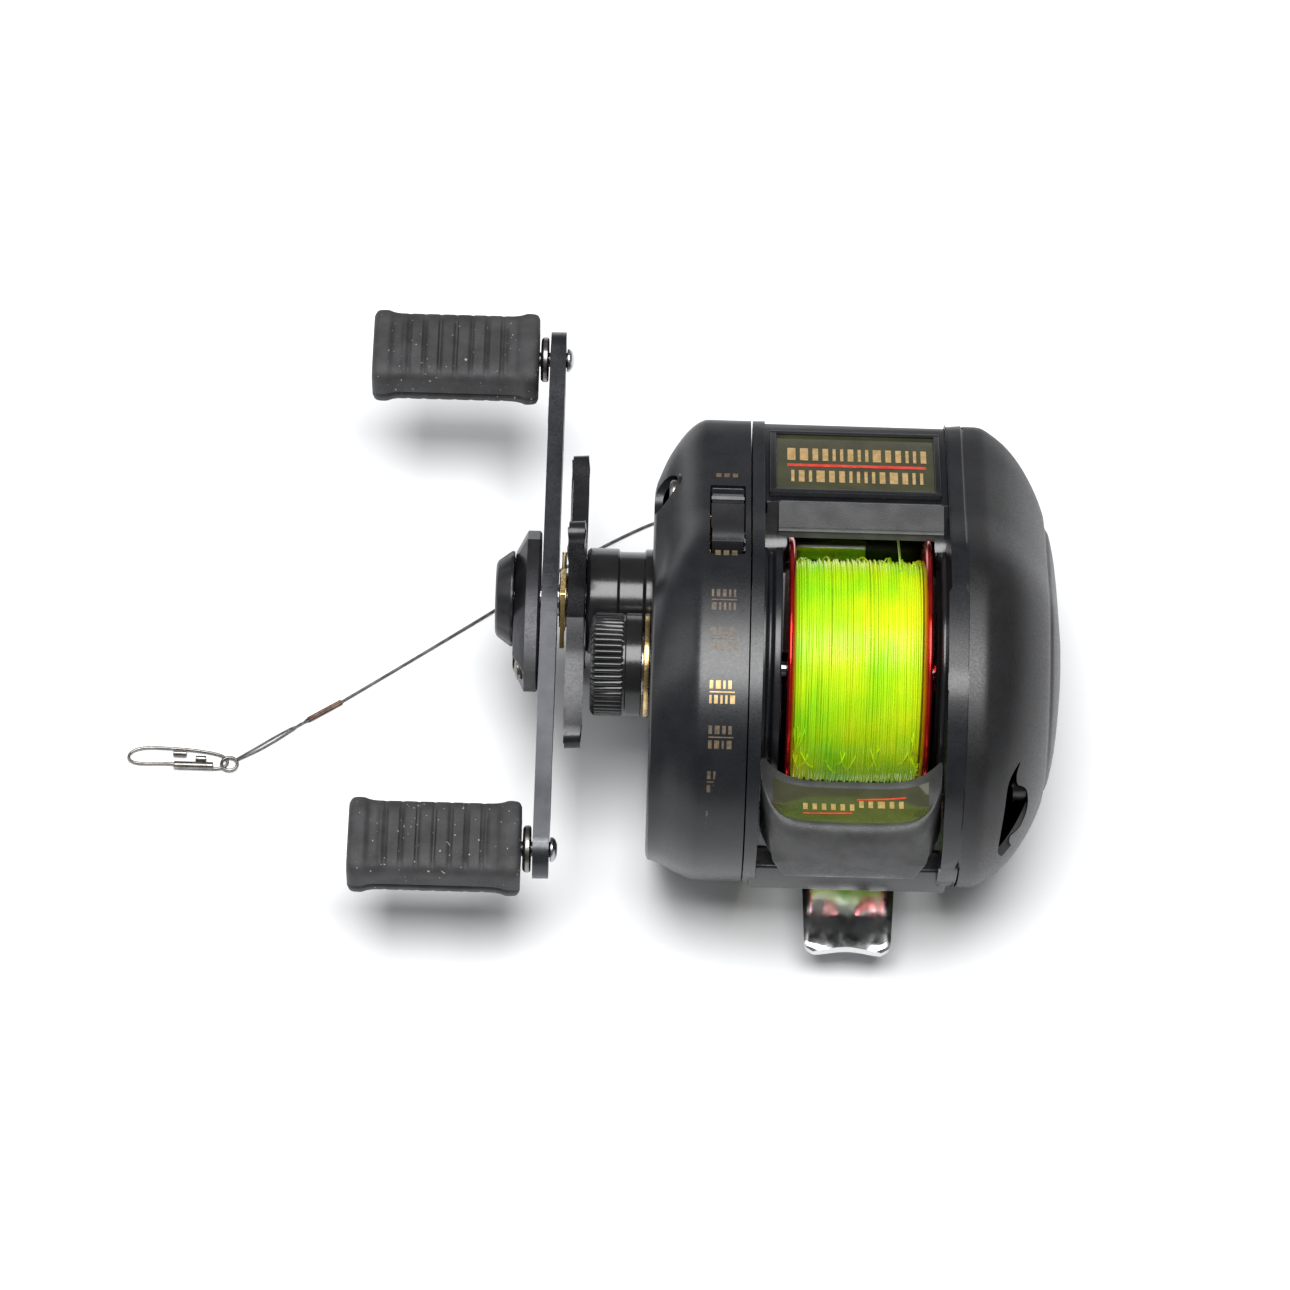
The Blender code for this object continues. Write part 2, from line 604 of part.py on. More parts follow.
def make_handle():
    holes = [circle(2.9, count=20), circle(1.5, ARM_END, 14), circle(1.5, (-ARM_END[0], -ARM_END[1]), 14)]
    arm = prism("handle_arm", [arm_outline()] + holes, -50.1, -47.6, CRANK, ARM_METAL)
    bevelled(arm, 0.5)
    half = [(11.4, 1.2), (9.0, 4.8), (5.0, 7.2), (0.0, 7.6), (-5.5, 7.2), (-10.5, 5.4), (-15.0, 3.6),
            (-15.6, 1.4)]
    lozenge = half + [(a, -b) for a, b in reversed(half)]
    c, s = math.cos(ARM_TILT), math.sin(ARM_TILT)
    lozenge = [(a * c - b * s, a * s + b * c) for a, b in lozenge]
    screw_at = (-12.4 * c, -12.4 * s)
    cover = prism("hub_cover", [lozenge], -54.3, -50.4, CRANK, ARM_METAL)
    bevelled(cover, 1.1, 1)
    bore = ring("hub_bore", -56, -49, 2.9, 0, CRANK, None, steps=20, cutter=True)
    pocket = turned("hub_screw_pocket", [
        (-49, 0), (-49, 1.2), (-53.2, 1.2), (-53.2, 2.2), (-56, 2.2), (-56, 0),
    ], CRANK, None, steps=14, at=(0, *screw_at), cutter=True)
    cut(cover, bore, pocket)
    turned("hub_screw", [
        (-50.8, 0), (-50.8, 0.9), (-53.5, 0.9), (-53.5, 1.9), (-54.0, 1.9), (-54.3, 1.4), (-54.3, 0),
    ], CRANK, STEEL, steps=16, at=(0, *screw_at))
    turned("nut_cap", [
        (-54.6, 2.9), (-54.6, 7.6), (-55.0, 7.6), (-57.1, 6.1), (-57.5, 5.6), (-57.5, 0), (-56.8, 0),
        (-56.8, 2.9),
    ], CRANK, ARM_METAL, steps=24)


def knob_section(x, half_y, half_z, count=20):
    """A rounded rectangle across the knob's length."""
    found = []
    for i in range(count):
        turn = 2 * math.pi * (i + 0.5) / count
        c, s = math.cos(turn), math.sin(turn)
        reach = (abs(c) ** 5 + abs(s) ** 5) ** (-1 / 5)
        found.append((x, half_y * reach * c, half_z * reach * s))
    return found


def make_knobs():
    stations = [
        (-52.0, 6.3, 4.0), (-52.6, 6.9, 4.6), (-54.0, KNOB_COLLAR_Y, 4.7), (-55.2, 6.7, 4.4),
        (-60.0, 6.55, 4.3), (-71.0, 6.55, 4.3), (-75.6, 6.7, 4.4), (-77.0, KNOB_COLLAR_Y, 4.7),
        (-78.5, 6.9, 4.6), (KNOB_END_X, 6.2, 3.9),
    ]
    for name, axis in KNOB_AXES.items():
        knob = lofted("knob_" + name, [knob_section(*s) for s in stations], axis, RUBBER)
        round_shaded(knob, 40)
        cut(knob, ring("knob_bore", -78.0, -50.0, 1.5, 0, axis, None, steps=14, cutter=True))
        ring("knob_collar_" + name, -51.7, -50.4, 3.7, 1.5, axis, STEEL, steps=18, chamfer=0.3)
        turned("knob_spindle_" + name, [
            (-46.6, 0), (-46.6, 1.5), (-47.0, 1.9), (-47.3, 1.9), (-47.3, 1.2), (-77.6, 1.2), (-77.6, 0),
        ], axis, STEEL, steps=14)


# Spool and clutch ------------------------------------------------------------

def make_spool():
    turned("spool", [
        (FLANGE_X, 19.4), (FLANGE_X, FLANGE_R - 0.2), (FLANGE_X - 0.3, FLANGE_R), (10.5, FLANGE_R),
        (10.3, 20.6), (10.0, 9.4), (-10.0, 9.4), (-10.3, 20.6), (-10.5, FLANGE_R),
        (-FLANGE_X + 0.3, FLANGE_R), (-FLANGE_X, FLANGE_R - 0.2), (-FLANGE_X, 19.4),
        (-9.4, 8.4), (-9.4, 3.2), (-11.0, 3.2), (-11.0, 1.5), (11.0, 1.5), (11.0, 3.2),
        (9.4, 3.2), (9.4, 8.4),
    ], SPOOL_AXIS, RED, steps=30)
    turned("line_winding", [
        (9.7, 16.4), (8.8, 16.9), (5.0, WINDING_R), (-5.0, WINDING_R), (-8.8, 16.9), (-9.7, 16.4),
        (-9.7, 9.7), (9.7, 9.7),
    ], SPOOL_AXIS, LINE, steps=30)
    ring("spool_shaft", -36.5, 21.0, 1.2, 0, SPOOL_AXIS, STEEL, steps=14)


def make_clutch():
    tooth = TRAIN_ANGLE + math.pi + math.pi / PINION_TEETH
    teeth = gear_outline(PINION_TEETH, MAIN_MODULE, tooth)
    pinion = turned("pinion", [
        (-18.4, 2.1), (-19.6, 2.1), (-19.8, 2.9), (-20.4, 2.9), (-20.4, 1.95), (-21.8, 1.95),
        (-21.8, 2.9), (-22.2, 2.9), (-22.4, 2.0), (-30.4, 2.0), (-30.4, 1.5), (-18.4, 1.5),
    ], SPOOL_AXIS, BRASS, steps=14)
    cog = prism("pinion_teeth", [teeth, circle(1.75, count=14)], -28.2, -21.9, SPOOL_AXIS, None,
                cutter=True)
    join(pinion, cog)
    outline = [(2.0, -2.3), (2.0, -4.6), (-1.0, -5.6), (-4.0, -14.6), (-9.0, -14.6), (-9.0, 0.0),
               (-7.0, 14.6), (-1.4, 14.6), (0.0, 5.4), (2.0, 4.6), (2.0, 2.3), (0.0, 2.3),
               (-1.6, 1.6), (-2.3, 0.0), (-1.6, -1.6), (0.0, -2.3)]
    holes = [circle(1.3, where, 12) for where in SPRING_PLACES.values()]
    prism("clutch_yoke", [outline] + holes, -21.6, -20.6, REEL, STEEL)


def make_thumb_bar():
    dish = [(-22.3, 4.2), (-24.2, 4.5), (-26.4, 5.1), (-28.8, 6.3), (-30.8, 7.8), (-32.2, 7.8),
            (-34.2, 5.4), (-34.9, 2.0), (-34.9, -3.6), (-33.4, -4.2), (-33.2, 0.6), (-29.5, 3.0),
            (-26.0, 2.2), (-22.9, 2.0)]
    bar = prism("thumb_bar", [dish], -14.9, 13.3, REEL, MATTE)
    horn = [(-23.8, 4.0), (-22.0, 5.0), (-21.3, 7.5), (-20.8, 10.2), (-21.8, 11.2), (-24.4, 10.4),
            (-30.0, 8.6), (-30.8, 6.6)]
    for name, low, high in (("left", -14.6, -12.2), ("right", 10.6, 13.0)):
        join(bar, prism("horn_" + name, [horn], low, high, REEL, None, cutter=True))
    return bar


# Level wind ------------------------------------------------------------------

def make_level_wind():
    shield = ring("levelwind_tube", -14.9, 13.3, 3.0, 2.3, WORM, STEEL, steps=24)
    slot = box("tube_slot", (-12.6, -0.9, -4), (11.0, 0.9, 0), WORM, cutter=True)
    cut(shield, slot)
    ring("worm_shaft", -22.6, 13.0, 1.9, 0, WORM, STEEL, steps=16)
    tooth = WORM_ANGLE + math.pi + math.pi / WORM_TEETH
    cog = gear_outline(WORM_TEETH, WORM_MODULE, tooth)
    prism("worm_gear", [cog, circle(2.2, count=16)], -22.4, -20.8, WORM, BRASS)

    guide = ring("line_guide", GUIDE_X - 4.8, GUIDE_X + 4.8, 5.0, 3.3, WORM, BLACK, steps=22)
    eye_plate = box("eye_plate", (GUIDE_X - 3.2, -1.0, 3.8), (GUIDE_X + 3.2, 2.2, 11.4), WORM,
                    cutter=True)
    boss = ring("pawl_boss", -6.9, -3.9, 2.6, 0, WORM, None, steps=20, along="Z",
                at=(GUIDE_X, 0, 0), cutter=True)
    join(guide, eye_plate, boss)
    eye_hole = ring("eye_hole", -4, 5, 2.3, 0, WORM, None, steps=24, along="Y",
                    at=(GUIDE_X, 0, EYE_RISE), cutter=True)
    pawl_hole = ring("pawl_hole", -9, -2.9, 1.3, 0, WORM, None, steps=16, along="Z",
                     at=(GUIDE_X, 0, 0), cutter=True)
    cut(guide, eye_hole, pawl_hole)
    turned("line_eye", [
        (2.6, 1.2), (2.6, 1.9), (2.2, 2.0), (-1.2, 2.0), (-1.5, 1.8), (-1.5, 1.2), (0.5, 0.9),
    ], WORM, STEEL, steps=18, along="Y", at=(GUIDE_X, 0, EYE_RISE))
    turned("guide_pawl", [
        (-2.4, 0), (-2.4, 0.5), (-3.2, 0.6), (-3.2, 1.0), (-6.7, 1.0), (-6.7, 0),
    ], WORM, BRASS, steps=14, along="Z", at=(GUIDE_X, 0, 0))


# Line and leader -------------------------------------------------------------

LEADER_ROUTE = [
    (6.4, 35.6, -1.6), (6.2, 39.6, -5.2), (5.4, 44.8, -14.5), (3.6, 49.2, -25.2), (-1.0, 52.2, -31.5),
    (-7.0, 52.4, -32.4), (-15.0, 51.0, -32.4), (-24.5, 48.6, -32.4), (-33.5, 45.4, -32.4),
    (-46.5, 37.2, -32.4), (-59.2, 27.6, -32.4), (-71.5, 18.4, -32.4), (-82.9, 10.0, -32.4),
]
LOOP_ROUTE = [(-87.9, 6.6, -32.3), (-91.3, 4.2, -32.3), (-95.6, 1.1, -32.3), (-99.3, -1.3, -32.3)]
SNAP_ROUTE = [
    (-100.7, -1.9, -32.25), (-102.2, -0.5, -32.25), (-107.5, 0.3, -32.25), (-114.4, 0.4, -32.25),
    (-116.8, -1.0, -32.25), (-115.6, -2.4, -32.25), (-109.5, -2.4, -32.25), (-102.6, -3.1, -32.25),
]


def make_line_end():
    eye_z = WORM_Z + EYE_RISE
    reach = math.hypot(WORM_Y, eye_z)
    leave = math.atan2(eye_z, WORM_Y) + math.acos((WINDING_R + 0.6) / reach)
    start = ((WINDING_R + 0.6) * math.cos(leave), (WINDING_R + 0.6) * math.sin(leave))
    run = [(GUIDE_X, *start), (GUIDE_X, WORM_Y - 2.5, eye_z + 1.2), (GUIDE_X, WORM_Y + 0.5, eye_z - 0.1),
           (GUIDE_X, 29.6, eye_z - 1.0)]
    tube("line_run", smooth_path(run, 1.6), 0.2, REEL, LINE)
    swivel = turned("leader_swivel", [
        (2.7, 0), (2.6, 0.5), (1.7, 0.6), (1.4, 1.1), (-1.4, 1.1), (-1.7, 0.6), (-2.6, 0.5), (-2.7, 0),
    ], REEL, STEEL, steps=16, along="Y", at=(GUIDE_X, 32.6, 0.1))
    swivel.rotation_euler = (-math.pi / 2 - math.radians(26), 0, 0)
    tube("leader_wire", smooth_path(LEADER_ROUTE, 1.9), WIRE_R, REEL, WIRE)
    tube("leader_loop", smooth_path(LOOP_ROUTE, 1.4), 0.38, REEL, WIRE)
    run_out = Vector(LOOP_ROUTE[0]) - Vector(LEADER_ROUTE[-1])
    middle = (Vector(LOOP_ROUTE[0]) + Vector(LEADER_ROUTE[-1])) / 2
    half = run_out.length / 2 - GAP
    sleeve = turned("leader_sleeve", ring_profile(-half, half, 0.36), REEL, CRIMP, steps=12)
    sleeve.rotation_euler = Vector((run_out.x, run_out.y, 0)).to_track_quat("Z", "Y").to_euler()
    sleeve.location = Vector((middle.x, middle.y, LOOP_ROUTE[0][2])) * MM
    tube("leader_snap", smooth_path(SNAP_ROUTE, 1.2, cyclic=True), 0.4, REEL, STEEL, cyclic=True)


make_frame()
make_foot()
make_front_trim()
make_handle_side_cover()
make_switch()
make_palm_side()
make_cover_fittings()
make_cap()
make_crank()
make_star()
make_handle()
make_knobs()
make_spool()
make_clutch()
make_thumb_bar()
make_level_wind()
make_line_end()
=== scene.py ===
"""A baitcasting reel with a wire leader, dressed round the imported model.

Lengths are in millimetres from the middle of the spool: X along its axis (plus to the
palm side), Y to the front, Z up. at() turns a place into metres in the model's frame.
"""

import json
import math
import random

import bmesh
import bpy
from mathutils import Matrix, Quaternion, Vector


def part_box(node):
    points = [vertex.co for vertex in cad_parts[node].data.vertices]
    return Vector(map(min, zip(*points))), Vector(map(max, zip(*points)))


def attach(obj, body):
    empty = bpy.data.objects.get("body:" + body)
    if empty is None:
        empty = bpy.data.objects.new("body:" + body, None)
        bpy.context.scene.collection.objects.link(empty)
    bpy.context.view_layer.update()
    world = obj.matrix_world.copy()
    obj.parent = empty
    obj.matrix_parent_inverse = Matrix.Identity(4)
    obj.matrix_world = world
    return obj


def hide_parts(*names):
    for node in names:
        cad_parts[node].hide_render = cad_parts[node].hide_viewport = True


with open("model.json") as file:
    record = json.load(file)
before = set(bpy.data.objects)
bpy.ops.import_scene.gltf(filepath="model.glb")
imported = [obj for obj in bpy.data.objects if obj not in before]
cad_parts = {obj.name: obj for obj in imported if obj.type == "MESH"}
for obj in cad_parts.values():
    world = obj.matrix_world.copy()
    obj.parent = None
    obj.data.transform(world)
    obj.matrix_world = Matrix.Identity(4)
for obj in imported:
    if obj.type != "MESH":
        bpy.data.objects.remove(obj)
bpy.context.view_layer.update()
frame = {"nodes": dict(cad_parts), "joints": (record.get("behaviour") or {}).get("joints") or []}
NODES = frame["nodes"]
JOINTS = {joint["name"]: joint for joint in frame["joints"]}
MM = 0.001
SPOOL_LOW, SPOOL_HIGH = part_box("spool")
SPOOL = (SPOOL_LOW + SPOOL_HIGH) / 2


def from_spool(point):
    """A place in metres, as millimetres from the middle of the spool."""
    return tuple((Vector(point) - SPOOL) / MM)


def at(x, y, z):
    return SPOOL + Vector((x, y, z)) * MM


_, CRANK_Y, CRANK_Z = from_spool(JOINTS["crank_turn"]["pos_m"])
_, WORM_Y, WORM_Z = from_spool(JOINTS["worm_turn"]["pos_m"])
KNOB_AXES = {
    "front": from_spool(JOINTS["knob_front_turn"]["pos_m"])[1:],
    "rear": from_spool(JOINTS["knob_rear_turn"]["pos_m"])[1:],
}
BASE_Z = -SPOOL.z / MM
ARM_TILT = math.radians(3.0)
ARM_HALF = 44.2
SLOPE = -16.5 / 34.7
SLOPE_START = (6.9, 24.5)
SWITCH_Y = 15.0

# The side plates' outline as (Y, Z), from the top of the slope round the nose
SIDE_CENTRE = (4.4, -4.0)
SIDE_POINTS = [
    (6.9, 24.5), (18.4, 19.0), (30.0, 13.5), (38.8, 9.3), (42.0, 6.6), (42.4, 1.5),
    (39.2, -9.0), (32.4, -20.0), (23.4, -28.6), (13.4, -32.7), (2.9, -32.7), (-7.6, -32.7),
    (-17.6, -30.3), (-25.6, -22.4), (-31.0, -13.0), (-33.2, -4.0), (-31.8, 6.0),
    (-25.6, 16.0), (-15.6, 22.6), (-3.6, 25.2),
]


# Camera, light and floor -----------------------------------------------------

LENS = 168.0
ELEVATION = math.radians(60)
CAMERA_DISTANCE = 0.952
CAMERA_ROLL = math.radians(1.6)
CAMERA_TARGET = (-33.4, 2.8, 1.6)


def look_from(place, target, roll=0.0):
    turn = (Vector(target) - Vector(place)).to_track_quat("-Z", "Y")
    return turn @ Quaternion((0, 0, 1), roll)


def make_camera():
    data = bpy.data.cameras.new("camera")
    data.sensor_width = 36.0
    data.lens = LENS
    data.clip_start, data.clip_end = 0.01, 20.0
    camera = bpy.data.objects.new("camera", data)
    bpy.context.scene.collection.objects.link(camera)
    target = at(*CAMERA_TARGET)
    away = Vector((0, -math.cos(ELEVATION), math.sin(ELEVATION)))
    camera.location = target + away * CAMERA_DISTANCE
    camera.rotation_mode = "QUATERNION"
    camera.rotation_quaternion = look_from(camera.location, target, CAMERA_ROLL)
    bpy.context.scene.camera = camera


def area_light(name, place, target, size, size_y, power):
    data = bpy.data.lights.new(name, "AREA")
    data.shape = "RECTANGLE"
    data.size, data.size_y = size, size_y
    data.energy = power
    lamp = bpy.data.objects.new(name, data)
    bpy.context.scene.collection.objects.link(lamp)
    lamp.location = place
    lamp.rotation_mode = "QUATERNION"
    lamp.rotation_quaternion = look_from(place, target)


def make_studio():
    middle = at(-20, 0, 0)
    lean = math.radians(-4)
    area_light("softbox", middle + Vector((0, math.sin(lean), math.cos(lean))), middle,
               0.75, 0.6, 15.0)
    area_light("left_fill", middle + Vector((-1.1, 0.2, 0.7)), middle, 0.5, 0.9, 2.6)
    world = bpy.data.worlds.new("studio")
    world.use_nodes = True
    world.node_tree.nodes["Background"].inputs["Color"].default_value = (0.96, 0.98, 1.0, 1)
    world.node_tree.nodes["Background"].inputs["Strength"].default_value = 0.2
    bpy.context.scene.world = world
    bpy.context.scene.view_settings.view_transform = "Standard"
    bpy.ops.mesh.primitive_plane_add(size=6, location=(0, 0, -0.00005))
    floor = bpy.context.object
    floor.name = "floor"
    paint = bpy.data.materials.new("floor_white")
    paint.use_nodes = True
    shader = paint.node_tree.nodes["Principled BSDF"]
    shader.inputs["Base Color"].default_value = (0.93, 0.935, 0.95, 1)
    shader.inputs["Roughness"].default_value = 0.55
    shader.inputs["Specular IOR Level"].default_value = 0.3
    floor.data.materials.append(paint)


# Materials -------------------------------------------------------------------

def noise(tree, coords, scale, detail=2.0, stretch=None):
    node = tree.nodes.new("ShaderNodeTexNoise")
    node.inputs["Scale"].default_value = scale
    node.inputs["Detail"].default_value = detail
    if stretch:
        mapping = tree.nodes.new("ShaderNodeMapping")
        mapping.inputs["Scale"].default_value = stretch
        tree.links.new(coords, mapping.inputs["Vector"])
        coords = mapping.outputs["Vector"]
    tree.links.new(coords, node.inputs["Vector"])
    return node.outputs["Fac"]


def spread(tree, value, low, high, start=0.3, stop=0.7):
    node = tree.nodes.new("ShaderNodeMapRange")
    node.inputs["From Min"].default_value = start
    node.inputs["From Max"].default_value = stop
    node.inputs["To Min"].default_value = low
    node.inputs["To Max"].default_value = high
    tree.links.new(value, node.inputs["Value"])
    return node.outputs["Result"]


def two_colours(tree, value, first, second, start=0.35, stop=0.65):
    ramp = tree.nodes.new("ShaderNodeValToRGB")
    ramp.color_ramp.elements[0].position = start
    ramp.color_ramp.elements[1].position = stop
    ramp.color_ramp.elements[0].color = (*first, 1)
    ramp.color_ramp.elements[1].color = (*second, 1)
    tree.links.new(value, ramp.inputs["Fac"])
    return ramp.outputs["Color"]


def surface(name, dark, light, rough, metal=0.0, mottle=260, grain=2600, depth=0.02, stretch=None,
            rough_spread=0.06, coat=0.0, glow=0.0, specks=None):
    """A finish whose colour drifts between two tones, with grain in its relief and its gloss, and a
    painted glow (emission in its own colour) when glow is given.
    """
    made = bpy.data.materials.new(name)
    made.use_nodes = True
    tree = made.node_tree
    shader = tree.nodes["Principled BSDF"]
    coords = tree.nodes.new("ShaderNodeTexCoord").outputs["Object"]
    tone = two_colours(tree, noise(tree, coords, mottle, 3.0, stretch), dark, light)
    if specks:
        colour, share = specks
        dots = noise(tree, coords, 1500, 1.0)
        mix = tree.nodes.new("ShaderNodeMix")
        mix.data_type = "RGBA"
        tree.links.new(spread(tree, dots, 0, 1, share, share + 0.03), mix.inputs["Factor"])
        tree.links.new(tone, mix.inputs[6])
        mix.inputs[7].default_value = (*colour, 1)
        tone = mix.outputs[2]
    tree.links.new(tone, shader.inputs["Base Color"])
    relief = noise(tree, coords, grain, 2.0, stretch)
    tree.links.new(
        spread(tree, relief, max(rough - rough_spread, 0.02), min(rough + rough_spread, 1.0)),
        shader.inputs["Roughness"],
    )
    bump = tree.nodes.new("ShaderNodeBump")
    bump.inputs["Strength"].default_value = 0.6
    bump.inputs["Distance"].default_value = depth * MM
    tree.links.new(relief, bump.inputs["Height"])
    tree.links.new(bump.outputs["Normal"], shader.inputs["Normal"])
    shader.inputs["Metallic"].default_value = metal
    shader.inputs["Coat Weight"].default_value = coat
    # glow: a painted glow, the finish's own colour given out as emission
    if glow:
        tree.links.new(tone, shader.inputs["Emission Color"])
        shader.inputs["Emission Strength"].default_value = glow
    return made


LOOKS = {
    "body": surface("body_satin", (0.005, 0.0055, 0.007), (0.009, 0.0095, 0.012), 0.31, depth=0.012,
                    rough_spread=0.04),
    "palm": surface("palm_satin", (0.006, 0.006, 0.0065), (0.01, 0.01, 0.011), 0.42, depth=0.02),
    "gloss": surface("gloss_black", (0.008, 0.008, 0.009), (0.012, 0.012, 0.012), 0.2, depth=0.004,
                     rough_spread=0.03),
    "grain": surface("textured_black", (0.03, 0.03, 0.031), (0.055, 0.055, 0.056), 0.5, grain=5200,
                     depth=0.12, rough_spread=0.1),
    "slider": surface("slider_satin", (0.03, 0.03, 0.033), (0.042, 0.042, 0.046), 0.26, 0.5,
                      depth=0.006, rough_spread=0.04),
    "label": surface("label_gloss", (0.04, 0.04, 0.02), (0.055, 0.055, 0.028), 0.16, depth=0.002,
                     rough_spread=0.03, coat=0.5),
    "chrome": surface("chrome", (0.6, 0.6, 0.6), (0.72, 0.72, 0.72), 0.15, 1.0, mottle=90,
                      grain=700, depth=0.01, rough_spread=0.05),
    "steel": surface("steel", (0.4, 0.4, 0.41), (0.62, 0.62, 0.63), 0.26, 1.0, grain=3000,
                     stretch=(0.05, 1, 1), depth=0.01),
    "dark_steel": surface("dark_steel", (0.16, 0.15, 0.14), (0.3, 0.28, 0.26), 0.3, 1.0, mottle=700,
                          depth=0.01),
    "brass": surface("brass", (0.5, 0.34, 0.13), (0.72, 0.53, 0.26), 0.25, 1.0, mottle=500,
                     depth=0.01),
    "arm": surface("arm_metal", (0.055, 0.056, 0.061), (0.066, 0.067, 0.073), 0.34, 0.85,
                   mottle=400, depth=0.015),
    "hub": surface("hub_metal", (0.022, 0.022, 0.025), (0.034, 0.034, 0.038), 0.38, 0.6,
                   mottle=400, depth=0.02),
    "star": surface("star_black", (0.012, 0.012, 0.014), (0.02, 0.02, 0.022), 0.3, 0.3, depth=0.01),
    "red": surface("red_anodised", (0.5, 0.012, 0.015), (0.7, 0.03, 0.025), 0.2, 0.9, depth=0.006),
    "rubber": surface("rubber", (0.022, 0.022, 0.023), (0.042, 0.042, 0.044), 0.66, grain=3800,
                      depth=0.08, specks=((0.3, 0.29, 0.26), 0.735)),
    # The line and its core carry a painted glow (emission) for the line's fluorescent brightness
    "line": surface("line_nylon", (0.26, 0.66, 0.006), (0.6, 0.74, 0.006), 0.3, mottle=110,
                    grain=3000, stretch=(1, 0.6, 0.6), depth=0.01, glow=0.12),
    "line_core": surface("line_core", (0.28, 0.55, 0.004), (0.55, 0.62, 0.01), 0.5, mottle=500,
                         grain=3000, depth=0.02, glow=0.05),
    "wire": surface("coated_wire", (0.05, 0.048, 0.046), (0.13, 0.125, 0.12), 0.34, 0.4, mottle=900,
                    depth=0.01),
    "crimp": surface("crimp", (0.05, 0.028, 0.02), (0.16, 0.1, 0.075), 0.35, 0.7, mottle=900,
                     depth=0.02),
    "gold": surface("gold_print", (0.42, 0.27, 0.1), (0.58, 0.4, 0.18), 0.4, 0.3, mottle=1200,
                    depth=0.004),
    "faint_gold": surface("worn_print", (0.06, 0.045, 0.03), (0.14, 0.1, 0.06), 0.45, mottle=1400,
                          depth=0.004),
    "red_print": surface("red_print", (0.5, 0.03, 0.02), (0.65, 0.06, 0.03), 0.4, mottle=900,
                         depth=0.004),
    "fibre": surface("drag_fibre", (0.02, 0.02, 0.02), (0.07, 0.07, 0.07), 0.8, mottle=900,
                     grain=1500, depth=0.1),
}

INNER_LOOKS = {
    "steel": ["foot_rivet_front", "foot_rivet_rear", "brake_ring", "spool_bearing_palm",
              "spool_bearing_handle", "one_way_bearing", "shaft_bearing", "yoke_spring_front",
              "yoke_spring_rear", "drive_shaft", "pressure_plate", "ratchet_wheel", "clutch_sleeve",
              "spool_shaft", "clutch_yoke", "worm_shaft", "line_eye"],
    "brass": ["main_gear", "levelwind_drive_gear", "pinion", "worm_gear", "guide_pawl"],
    "fibre": ["drag_washer"],
}


def dress_inner_parts():
    """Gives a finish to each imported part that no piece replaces."""
    for look, names in INNER_LOOKS.items():
        for name in names:
            mesh = NODES[name].data
            mesh.materials.clear()
            mesh.materials.append(LOOKS[look])
            mesh.shade_smooth()
            mesh.set_sharp_from_angle(angle=math.radians(35))


# Building blocks -------------------------------------------------------------

def piece(name, mesh, look, body, *nodes, sharp=35):
    """An object with a finish that rides a body and stands in for the named nodes."""
    obj = bpy.data.objects.new(name, mesh)
    bpy.context.scene.collection.objects.link(obj)
    if hasattr(mesh, "shade_smooth"):
        mesh.shade_smooth()
        mesh.set_sharp_from_angle(angle=math.radians(sharp))
    if look:
        mesh.materials.append(LOOKS[look])
    if body:
        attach(obj, body)
    if nodes:
        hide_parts(*nodes)
    return obj


def finished(work, name):
    """The bmesh as a mesh, its doubled points joined and its faces turned outward."""
    bmesh.ops.remove_doubles(work, verts=work.verts, dist=1e-7)
    bmesh.ops.recalc_face_normals(work, faces=work.faces)
    mesh = bpy.data.meshes.new(name)
    work.to_mesh(mesh)
    work.free()
    return mesh


def skin(name, rows, closed_ends=(True, True)):
    """A mesh over closed rows of points of the same count, given in millimetres."""
    work = bmesh.new()
    made = [[work.verts.new(at(*p)) for p in row] for row in rows]
    count = len(rows[0])
    for row, after in zip(made, made[1:]):
        for i in range(count):
            j = (i + 1) % count
            work.faces.new((row[i], row[j], after[j], after[i]))
    for row, closed in zip((made[0], made[-1]), closed_ends):
        if closed:
            work.faces.new(row)
    return finished(work, name)


def lathe(name, profile, centre=(0, 0, 0), steps=64, along="X", ripple=None):
    """A mesh turned from (place, radius) pairs. ripple(place, turn) changes a radius round the axis."""
    rows = []
    for place, radius in profile:
        row = []
        for i in range(steps):
            turn = 2 * math.pi * i / steps
            reach = radius + (ripple(place, turn) if ripple and radius else 0)
            a, b = reach * math.cos(turn), reach * math.sin(turn)
            offset = {"X": (place, a, b), "Y": (a, place, b), "Z": (a, b, place)}[along]
            row.append(tuple(c + o for c, o in zip(centre, offset)))
        rows.append(row)
    closed = profile[0] == profile[-1]
    ends = (not closed and profile[0][1] > 0, not closed and profile[-1][1] > 0)
    return skin(name, rows, ends)


def softened(profile, radius, steps=3):
    """The same profile with each inner corner cut round."""
    closed = profile[0] == profile[-1]
    points = profile[:-1] if closed else profile
    found = [] if closed else [points[0]]
    for i in range(len(points)):
        if not closed and i in (0, len(points) - 1):
            continue
        here = Vector(points[i])
        before = Vector(points[i - 1])
        after = Vector(points[(i + 1) % len(points)])
        near = min(radius, 0.45 * (before - here).length, 0.45 * (after - here).length)
        start = here + (before - here).normalized() * near
        stop = here + (after - here).normalized() * near
        for k in range(steps + 1):
            t = k / steps
            found.append(tuple(start * (1 - t) ** 2 + here * 2 * t * (1 - t) + stop * t * t))
    found.append(found[0] if closed else points[-1])
    return found


def ring(x_low, x_high, outer, inner):
    return [(x_high, inner), (x_high, outer), (x_low, outer), (x_low, inner), (x_high, inner)]


def disc(x_low, x_high, radius):
    return [(x_high, 0), (x_high, radius), (x_low, radius), (x_low, 0)]


def circle(radius, centre=(0, 0), count=48):
    turns = [2 * math.pi * i / count for i in range(count)]
    return [(centre[0] + radius * math.cos(t), centre[1] + radius * math.sin(t)) for t in turns]


